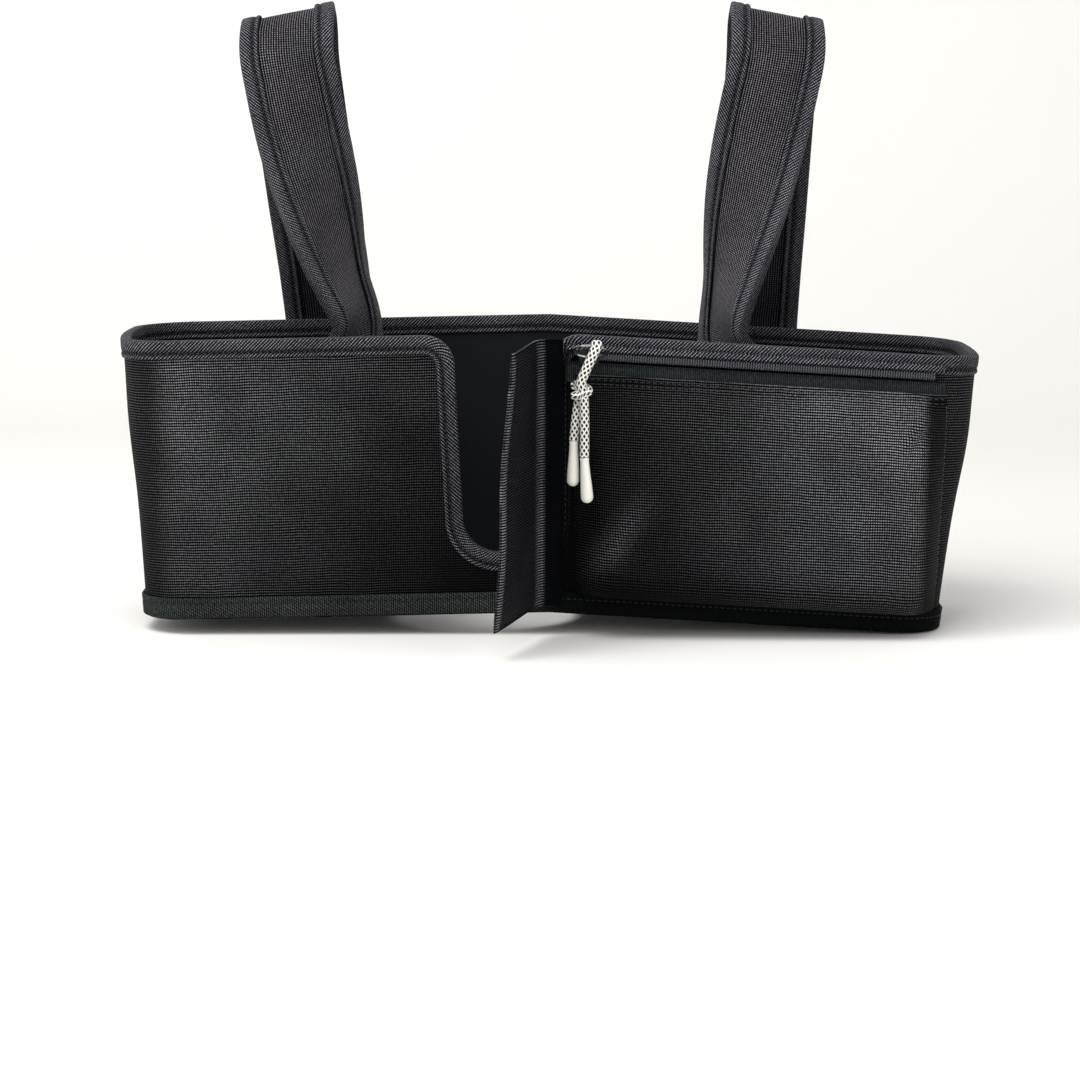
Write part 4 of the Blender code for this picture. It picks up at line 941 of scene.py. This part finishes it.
def make_divider(name, x):
    """A cloth wall, its top edge a hem that dips between the two walls."""
    rows, columns = 26, 20
    bottom = BASE_THICKNESS + SEAT + TAPE + SEAT
    t = np.linspace(0, 1, columns)
    top = DIVIDER_HEIGHT - DIVIDER_DIP * np.sin(math.pi * t)
    z = lerp(bottom, top[None], np.linspace(0, 1, rows)[:, None])
    reach = -front_y(z) - WALL - SEAT
    y = lerp(-reach, reach, t[None])
    bulge = 0.0012 * np.sin(math.pi * t)[None] * np.sin(z * 40 + x * 90)
    middle = np.stack([x + bulge, y, z], axis=2)
    hem = 1 + 0.25 * ease(z, DIVIDER_HEIGHT - 0.018, DIVIDER_HEIGHT - 0.016)
    thickness = DIVIDER_THICKNESS * hem * 0.85
    stand_in(slab(f"{name}_cloth", hung(middle), thickness, LINING), "lining", name)
    seam = hung(middle[-5]) + (0.0013, 0, 0)
    stitches(f"{name}_stitches", seam, np.tile((1.0, 0, 0), (columns, 1)))


make_floor()
make_hole_tape()
CUP_BAY, BOTTLE_BAY = 0.107, 0.060
make_divider("divider_left", CUP_X - CUP_BAY / 2)
make_divider("divider_middle", CUP_X + CUP_BAY / 2)
make_divider("divider_right", CUP_X + CUP_BAY / 2 + BOTTLE_BAY)

# %% [markdown]
# ## Flap beside the notch
# A stiff flap is sewn beside the notch and stands forwards. It holds the cup's side.

# %% Flap
FLAP_ROOT_X, FLAP_BEND_X, FLAP_REACH = 0.0065, -0.0050, 0.064
FLAP_LEAN_TOP, FLAP_LEAN_LOW = 0.0125, 0.0210
FLAP_THICKNESS, FLAP_BEND_RADIUS, FLAP_RISE = 0.0026, 0.010, 0.0045
FLAP_DROP, FLAP_SAG = 0.0026, 0.0018
FLAP_SEAM = 5.5


def make_flap():
    """Rows of plan curves: root on the wall, a round bend, then a lean to the free edge."""
    rows, seat_gap = 40, SEAT + TAPE + SEAT + FLAP_THICKNESS / 2
    grid = []
    for t in np.linspace(0, 1, rows):
        z = lerp(FLAP_RISE, RIM_HEIGHT - FLAP_DROP, t)
        wall = min(front_y(z), front_y(0.010)) - seat_gap - 0.0015 * (1 - t)
        lean = lerp(FLAP_LEAN_LOW, FLAP_LEAN_TOP, t)
        free = np.array([FLAP_BEND_X - lean, front_y(RIM_HEIGHT) - FLAP_REACH])
        line = rounded(((FLAP_ROOT_X, wall), (FLAP_BEND_X, wall), free), (FLAP_BEND_RADIUS,), 10)
        line = np.concatenate([line[:-1], lerp(line[-2], line[-1], np.linspace(0, 1, 30)[1:, None])])
        grid.append(np.column_stack([line, np.full(len(line), z)]))
    grid = np.array(grid)
    reach = run_length(grid, 1)
    grid[..., 2] -= (FLAP_SAG * ease(reach, 12, 75))[None]
    fade = ease(reach, 15, 45) * np.sin(np.linspace(0, math.pi, rows))[:, None]
    grid[..., 0] += 0.0012 * np.sin(grid[..., 2] * 52 + 0.4) * fade
    edge = reach[-1] - reach
    seam = 1 - 0.28 * np.exp(-(((edge - FLAP_SEAM) / 0.8) ** 2))
    thickness = FLAP_THICKNESS * seam * edge_round(rows)[:, None] * edge_round(len(reach))
    # Painted light: the crests are dark near the root, in the recess, bright along the free edge's seam, and
    # bright on a strip just past the bend.
    lit = 0.12 * ease(reach, 8.0, 12.0) + 0.9 * (1 - ease(edge, 4.5, 6.0))
    lit = lit + 0.75 * ease(reach, 9.0, 12.0) * (1 - ease(reach, 15.0, 22.0))
    piece = slab("flap_cloth", hung(grid), thickness, FLAP_CANVAS, lit=lit)
    stand_in(piece, "ribbed_fabric", "cup_flap")
    column = int(np.argmin(np.abs(edge - FLAP_SEAM)))
    normal = grid_normals(hung(grid))[:, column]
    for name, side in (("flap_stitches_left", -1), ("flap_stitches_right", 1)):
        row = hung(grid)[:, column] + normal * side * FLAP_THICKNESS * 0.36
        stitches(name, row, normal * side)


make_flap()

# %% [markdown]
# ## Zipped pocket
# A bellows pocket of the same canvas swells out of the front. Its hem is turned and sewn
# twice, just under the zipper.

# %% Pocket and zipper
POCKET_LEFT, POCKET_RIGHT_TOP, POCKET_RIGHT_LOW = 0.0125, 0.1910, 0.1872
POCKET_SKIN, POCKET_RISE, POCKET_DEPTH = 0.0015, 0.0125, 0.021
POCKET_EDGE_RADIUS, POCKET_HEM_DROP, POCKET_HEM_LAP = 0.008, 0.0183, 0.0060
POCKET_LEFT_SWELL, POCKET_RIGHT_SWELL = 0.022, 0.015
ZIP_LEFT, ZIP_RIGHT = 0.0140, 0.1840
ZIP_TAPE, TAPE_RETURN, TAPE_TURN, HEM_OVERLAP = 0.0007, 0.006, 0.004, 0.0040
ZIP_Y, ZIP_Z = -RIM_DEPTH / 2 - ZIP_STANDOFF, RIM_HEIGHT - ZIP_DROP
COIL_PARTING, COIL_HEIGHT, COIL_DEPTH, COIL_PITCH = 0.0013, 0.0018, 0.0008, 0.00120
print("zipper's middle line, mm:", round(ZIP_Z * 1000, 1))


def wall_y(x, z):
    """Depth of the front wall, with its rounded right corner."""
    right = lerp(BASE_RIGHT, RIM_RIGHT, z / RIM_HEIGHT)
    over = np.clip(x - (right - CORNER_RADIUS), 0, CORNER_RADIUS * 0.98)
    return front_y(z) + CORNER_RADIUS - np.sqrt(CORNER_RADIUS**2 - over**2)


def tape_plan():
    """Plan of a zipper tape: off the wall at its ends, straight between them."""
    left, right = ZIP_LEFT - TAPE_RETURN, ZIP_RIGHT + TAPE_RETURN
    seat = SEAT * 2 + TAPE + ZIP_TAPE
    start = (left, wall_y(left, RIM_HEIGHT) - seat)
    end = (right, wall_y(right, RIM_HEIGHT) - seat)
    corners = (start, (ZIP_LEFT - TAPE_TURN, ZIP_Y), (ZIP_RIGHT + TAPE_TURN / 2, ZIP_Y), end)
    return densify(rounded(corners, (TAPE_TURN, TAPE_TURN / 2), 6), 0.004)


def fold(x, z, start, end, width, height):
    """A soft fold along a line: height * exp(-(distance / width)^2), fading at both ends."""
    a, d = np.array(start), np.array(end) - np.array(start)
    share = ((x - a[0]) * d[0] + (z - a[1]) * d[1]) / (d @ d)
    away = ((x - a[0]) * d[1] - (z - a[1]) * d[0]) / math.sqrt(d @ d)
    return height * np.exp(-((away / width) ** 2)) * ease(share, -0.25, 0.35) * (1 - ease(share, 0.65, 1.25))


FOLDS = (
    ((0.019, 0.020), (0.047, 0.060), 0.0045, 0.0016),
    ((0.186, 0.110), (0.174, 0.093), 0.0028, -0.0022),
    ((0.179, 0.107), (0.168, 0.089), 0.0030, 0.0014),
    ((0.060, 0.020), (0.085, 0.034), 0.0060, 0.0008),
    ((0.150, 0.022), (0.172, 0.040), 0.0050, 0.0009),
)


def make_pocket():
    """Grid of the inner face: depth off the wall by height, rising from both side seams."""
    u = np.sin(np.linspace(-math.pi / 2, math.pi / 2, 90)) / 2 + 0.5
    hem = RIM_HEIGHT - POCKET_HEM_DROP
    hem_depth = ZIP_STANDOFF + ZIP_TAPE / 2 + SEAT
    corners = ((0.0, POCKET_RISE), (POCKET_DEPTH, POCKET_RISE), (hem_depth, hem))
    profile = rounded(corners, (POCKET_EDGE_RADIUS,), 10)
    lap = 1 - POCKET_HEM_LAP / (hem - POCKET_RISE)
    under = lerp(profile[0], profile[1], np.linspace(0, 1, 6)[:-1, None])
    belly = lerp(profile[-2], profile[-1], np.linspace(0, 1, 46)[1:, None])
    profile = np.concatenate([under, profile[1:-1], belly])
    tape = tape_plan()
    rows = []
    for depth, z in profile:
        t = (z - POCKET_RISE) / (hem - POCKET_RISE)
        right = lerp(POCKET_RIGHT_LOW, POCKET_RIGHT_TOP, t)
        x = lerp(POCKET_LEFT, right, u)
        left_rise = np.sin(np.clip((x - POCKET_LEFT) / POCKET_LEFT_SWELL, 0, 1) * math.pi / 2)
        right_rise = np.sin(np.clip((right - x) / POCKET_RIGHT_SWELL, 0, 1) * math.pi / 2)
        y = wall_y(x, z) - SEAT * 2 - depth * (left_rise * right_rise) ** 0.8
        limit = np.minimum(y, np.interp(x, tape[:, 0], tape[:, 1]) - ZIP_TAPE / 2 - SEAT * 2)
        y = lerp(y, limit, ease(t, lap - 0.06, lap))
        rows.append(np.column_stack([x, y, np.full(len(x), z)]))
    grid = np.array(rows)
    x, z = grid[..., 0], grid[..., 2]
    folds = sum(fold(x, z, *place) for place in FOLDS)
    calm = np.sin(np.clip(u, 0, 1) * math.pi)[None] ** 0.5
    folds = folds + 0.0005 * np.sin(x * 95 + z * 35) * calm
    grid[..., 1] -= np.clip(folds, -0.0015, 0.002) * ease(z, 0.020, 0.032) * (1 - ease(z, 0.100, 0.108))
    hung_grid = hung(grid)
    lines = (1.6, 5.2)
    rise = run_length(grid, 0)
    below = rise[-1] - rise
    groove = sum(0.25 * np.exp(-(((below - line) / 0.7) ** 2)) for line in lines)
    thickness = POCKET_SKIN * (1 - groove)[:, None] * (edge_round(len(u), 3, 0.5)[None])
    # Painted light on the pocket's crests: brighter to the right and towards the top, a painted highlight
    # along the low left fold and on the hem's folded edge, and painted shade at the right side seam, near the
    # bottom and in the stitched grooves.
    level = grid[..., 2] / RIM_HEIGHT
    lit = lerp(0.15, 1.0, ease(x, 0.035, 0.175)) * (0.38 + 0.62 * level)
    lit = lit + fold(x, z, *FOLDS[0][:2], 0.0065, 0.32)
    side_seam = lerp(POCKET_RIGHT_LOW, POCKET_RIGHT_TOP, level)
    lit = lit * (1 - 0.85 * ease(x, side_seam - 0.0125, side_seam - 0.0070))
    lit = lit * (1 - 0.5 * ease(-z, -0.034, -0.014))
    lit = np.maximum(lit + 0.5 * np.exp(-(((below - 0.4) / 0.5) ** 2))[:, None] - 0.8 * groove[:, None], 0)
    piece = slab("pocket_cloth", hung_grid, thickness, CANVAS, side=0.5, lit=lit)
    stand_in(piece, "ribbed_fabric", "pocket_front")
    normal = grid_normals(hung_grid)
    for number, line in enumerate(lines):
        row = int(np.argmin(np.abs(below - line)))
        path = hung_grid[row] + normal[row] * POCKET_SKIN * 0.85
        stitches(f"hem_stitches_{number}", path[3:-3], normal[row][3:-3])
    away = normal[16:-2, -4]
    side = hung_grid[16:-2, -4] + away * POCKET_SKIN * 0.9
    stitches("pocket_side_stitches", side, away, finish=COIL)


def make_zip_tape(name, low, high, lean, finish):
    """The tape's plan at five heights, leaning back by lean: (x, y + lean * t, lerp(low, high, t))."""
    line, t = tape_plan(), np.linspace(0, 1, 5)[:, None]
    x, y, z = np.broadcast_arrays(line[:, 0], line[:, 1] + lean * t, ZIP_Z + lerp(low, high, t))
    piece = slab(f"{name}_weave", hung(np.stack([x, y, z], axis=2)), ZIP_TAPE, finish)
    stand_in(piece, "binding_tape", name)


def make_coil(name, side):
    """Half of the closed chain: a nylon wire wound flat, a helix with one turn every pitch,
    whose heads reach just past the middle and lie between the other half's."""
    turns = int(round((ZIP_RIGHT - ZIP_LEFT) / COIL_PITCH))
    t = np.linspace(0, turns * 2 * math.pi, turns * 10 + 1)
    x = ZIP_LEFT + t / (2 * math.pi) * COIL_PITCH
    wire = 0.00032
    near, far = -wire * 0.5, COIL_PARTING / 2 + COIL_HEIGHT - wire * 3
    height = lerp(near, far, 0.5 + 0.5 * side * np.cos(t))
    path = np.column_stack([x, ZIP_Y + (COIL_DEPTH - wire) * np.sin(t), ZIP_Z + side * height])
    stand_in(tube(f"{name}_wire", hung(path), wire, COIL, "tray", sides=6), "coil", name)


make_pocket()
coil_edge = COIL_PARTING / 2 + COIL_HEIGHT + SEAT
make_zip_tape("zipper_tape_upper", coil_edge, coil_edge + 0.0028, 0.0008, TWILL)
make_zip_tape("zipper_tape_lower", ZIP_DROP - POCKET_HEM_DROP - HEM_OVERLAP, -coil_edge, 0.0, ZIP_WEAVE)
make_coil("zipper_coil_upper", 1)
make_coil("zipper_coil_lower", -1)

# %% [markdown]
# ## Straps
# Each strap is a band of canvas with taped edges. It rises from hook-and-loop inside the
# back wall, goes over the handlebar and comes down to hook-and-loop on the outside.

# %% Straps
BAR_RADIUS, BAR_Y, BAR_HEIGHT, BAR_TILT = 0.019, 0.015, 0.2668, 11.0
STRAP_WIDTH, STRAP_WEB, STRAP_TAPE_LEG, STRAP_TAPE_PLAY = 0.046, 0.0026, 0.0080, 0.0007
STRAP_END, PATCH_HEIGHT, PATCH_THICKNESS = 0.052, 0.040, 0.0014
STRAP_TWIST, STRAP_ARC_STEPS = 69.0, 8
STRAPS = {
    "left": {"top": -0.129, "front": -0.0992, "end": -0.1135, "shares": (0.26, 0.71), "side": 1},
    "right": {"top": 0.1125, "front": 0.0898, "end": 0.1060, "shares": (0.12, 0.58), "side": -1},
}


def strap_stack():
    """Half of a strap's whole thickness: web, play and tape."""
    return STRAP_WEB / 2 + STRAP_TAPE_PLAY + TAPE


def back_face(z, outward):
    """Depth of the back wall's outer or inner face."""
    return -front_y(z) if outward else -front_y(z) - WALL


def strap_route(spec):
    """Centre line from the inner end over the bar to the outer end, and the width's direction."""
    wrap = BAR_RADIUS + SEAT + strap_stack()
    seat = strap_stack() + SEAT + PATCH_THICKNESS + SEAT
    heights = np.linspace(STRAP_END, STRAP_END + PATCH_HEIGHT, 4)
    top, end, front = spec["top"], spec["end"], spec["front"]
    leave = heights[-1]
    inner = back_face(leave, False) - seat
    stops = [(end, back_face(z, False) - seat, z, 0.0, n) for z, n in zip(heights, (1, 1, 3, 4))]
    stops += [
        (lerp(end, front, 0.45), inner - 0.0085, leave + 0.020, STRAP_TWIST * 0.30, 7),
        (front, 0.036, WALL_TOP + 0.002, STRAP_TWIST, 5),
        (lerp(front, top, spec["shares"][0]), 0.020, WALL_TOP + 0.034, STRAP_TWIST * 0.84, 4),
        (lerp(front, top, spec["shares"][1]), BAR_Y - wrap * 0.82, WALL_TOP + 0.090, STRAP_TWIST * 0.30, 3),
    ]
    for angle in np.radians(np.linspace(172, 0, STRAP_ARC_STEPS)):
        stops.append((top, BAR_Y + wrap * math.cos(angle), BAR_HEIGHT + wrap * math.sin(angle), 0.0, 1))
    rim_out = -front_y(WALL_TOP) + SEAT + TAPE + SEAT + strap_stack()
    middle = lerp(np.array([top, BAR_Y + wrap, BAR_HEIGHT]), np.array([end, rim_out, RIM_HEIGHT]), 0.55)
    stops[-1] = (*stops[-1][:4], 2)
    stops.append((*middle, 0.0, 2))
    stops.append((end, rim_out + 0.0015, RIM_HEIGHT, 0.0, 3))
    stops += [(end, back_face(z, True) + seat, z, 0.0, 1) for z in heights[::-1]]
    stops = np.array(stops)
    risen = np.clip((stops[:, 2] - RIM_HEIGHT) / (BAR_HEIGHT - RIM_HEIGHT), 0, 1)
    stops[:, 2] += droop(stops[:, 0]) * (1 - risen)
    route = soften(smooth_route(stops[:, :4], stops[:-1, 4].astype(int)), 0.0022, 0.009)
    path, yaw = route[:, :3], route[:, 3]
    roll = np.clip((path[:, 2] - RIM_HEIGHT) / (BAR_HEIGHT - RIM_HEIGHT), 0, 1) ** 2 * BAR_TILT
    yaw, roll = np.radians(yaw) * spec["side"], np.radians(roll) * spec["side"]
    width = np.stack([np.cos(yaw) * np.cos(roll), np.sin(yaw) * np.cos(roll), np.sin(roll)], axis=1)
    return path + HOME, width


def strap_frame(path, width):
    """Directions across a strap and out of its face: the width made square to the path."""
    along = unit(np.gradient(path, axis=0))
    across = unit(width - (width * along).sum(axis=1, keepdims=True) * along)
    return across, np.cross(across, along)


def make_strap(name, spec):
    """A web with two folded tapes, all profiles carried along one route, with painted light: brighter low
    down and on the outward face, painted shade on the inward face.
    """
    path, width = strap_route(spec)
    across, face = strap_frame(path, width)
    half, thick = STRAP_WIDTH / 2 - TAPE - SEAT, STRAP_WEB / 2
    x = np.linspace(-half, half, 17)
    crown = 0.0002 * np.cos(x / half * math.pi / 2)
    web = np.concatenate([np.column_stack([x, -thick - crown]), np.column_stack([x, thick + crown])[::-1]])
    sections = carried(path, across, face, web)
    # Painted light: more glint low down, painted shade on the face that looks inward.
    low = 1 - ease(path[:, 2], 0.15, 0.26)
    outward = np.sign(face[path[:, 2].argmax(), 2])
    shade = np.where(web[:, 1] * outward > 0, 1.0, 0.2)
    light = (0.85 + 0.8 * low)[:, None] * shade
    strip = swept(f"strap_{name}_web", sections, STRAP_CANVAS, lit=light)
    stand_in(strip, "strap_web", f"strap_{name}")
    folded, painted_light = folded_tape(STRAP_TAPE_LEG, thick + STRAP_TAPE_PLAY, TAPE)
    for edge, side in (("outer", -1), ("inner", 1)):
        label = edge if spec["side"] > 0 else {"outer": "inner", "inner": "outer"}[edge]
        profile = np.column_stack([side * (half + folded[:, 1]), folded[:, 0]])
        # Painted shade on the tape's inward side, painted light stronger low down.
        dim = np.where(profile[:, 1] * outward > 0, painted_light, painted_light * 0.6)
        light = dim * (0.9 + 0.5 * low)[:, None]
        sections = carried(path, across, face, profile)
        tape = swept(f"strap_{name}_tape_{label}", sections, STRAP_TWILL, flip=side > 0, lit=light)
        stand_in(tape, "binding_tape", f"strap_{name}_binding_{label}")
        for word, out in (("a", 1), ("b", -1)):
            seam = path + across * side * (half - STRAP_TAPE_LEG + TAPE_SEAM)
            seam = seam + face * out * (thick + STRAP_TAPE_PLAY + TAPE - 0.0006)
            title = f"strap_{name}_stitches_{label}_{word}"
            stitches(title, seam, face * out)


def make_patch(name, spec, place, outward):
    """A hook-and-loop patch between a strap's end and the back wall, thinner at its edges."""
    half = STRAP_WIDTH / 2 - STRAP_TAPE_LEG - 0.003
    z = np.linspace(STRAP_END + 0.003, STRAP_END + PATCH_HEIGHT - 0.003, 14)
    x = np.linspace(-half, half, 12) + spec["end"]
    side = 1 if outward else -1
    thick = PATCH_THICKNESS + TAPE
    depth = back_face(z, outward) + side * (SEAT + thick / 2)
    grid = np.stack(np.broadcast_arrays(x, depth[:, None], z[:, None]), axis=2)
    share = edge_round(14, 1, 0.7)[:, None] * edge_round(12, 1, 0.7)[None]
    piece = slab(f"{place}_patch_{name}", hung(grid), thick * share, LOOPS)
    stand_in(piece, "hook_and_loop", f"patch_{name}_{place}")


for name, spec in STRAPS.items():
    make_patch(name, spec, "inner", False)
    make_patch(name, spec, "outer", True)
    make_strap(name, spec)

# %% [markdown]
# ## Metal
# The slider and its ring are die cast and nickel plated, the slider in black. Their packed
# solids already have the right form, so they only get a better finish.

# %% Slider and ring
def dress(name, finish):
    """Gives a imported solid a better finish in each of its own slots."""
    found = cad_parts[name]
    for slot in found.material_slots:
        slot.material = finish


dress("slider", BLACK_NICKEL)
dress("pull_ring", NICKEL)

# %% [markdown]
# ## Studio
# A seamless white floor and backdrop, a wide soft light above, and one from each side. Large
# lights make soft edges to the shadows and even real reflections on black cloth; the grey glints on its
# crests are painted into its colour.

# %% Floor, backdrop and lights
def studio_white(name, code):
    """Matt seamless paper, with hardly visible clouds in its white."""
    made, tree, shader = new_material(name)
    place = node(tree, "ShaderNodeTexCoord").outputs["Object"]
    colour = mix_colour(tree, noise(tree, place, 3.0), code, "#f4f2ee")
    fill(tree, shader, {"Base Color": colour, "Roughness": 0.9})
    return made


def make_backdrop():
    """One sweep of paper: level floor, a quarter round of radius 0.4 m, and a wall."""
    floor_z = cad_box[0][2]
    turn = np.radians(np.linspace(-90, 0, 24))
    curve = np.column_stack([0.9 + 0.4 * np.cos(turn), floor_z + 0.4 + 0.4 * np.sin(turn)])
    line = np.concatenate([[[-3.0, floor_z]], curve, [[1.3, 3.2]]])
    x = np.array([-3.0, 3.0])
    grid = np.stack(np.broadcast_arrays(x[:, None], line[:, 0], line[:, 1]), axis=2)
    quads = quads_of(np.arange(2 * len(line)).reshape(2, -1)).reshape(-1, 4)
    paper = studio_white("paper_backdrop", "#f7f5f1")
    new_object("backdrop", grid, quads.tolist(), paper)


def soft_light(name, place, aim, size, watts):
    """A rectangular lamp at a place, turned to face its aim."""
    data = bpy.data.lights.new(name, "AREA")
    data.shape = "RECTANGLE"
    data.size, data.size_y = size
    data.energy = watts
    obj = bpy.data.objects.new(name, data)
    obj.location = place
    obj.rotation_euler = (Vector(aim) - Vector(place)).to_track_quat("-Z", "Y").to_euler()
    bpy.context.scene.collection.objects.link(obj)


def make_world():
    """An even pale sky that fills the shadows."""
    world = bpy.data.worlds.new("studio")
    world.use_nodes = True
    bpy.context.scene.world = world
    back = world.node_tree.nodes["Background"]
    back.inputs["Color"].default_value = linear("#f2f3f5")
    back.inputs["Strength"].default_value = 0.56


make_backdrop()
make_world()
middle = (0.0, 0.0, 0.08)
soft_light("key_above", (-0.5, -0.7, 1.5), middle, (1.4, 1.0), 24)
soft_light("fill_left", (-1.5, -1.0, 0.5), middle, (0.9, 1.2), 11)
soft_light("fill_right", (1.4, -1.2, 0.6), middle, (0.9, 1.2), 8)
bpy.context.scene.view_settings.view_transform = "Standard"
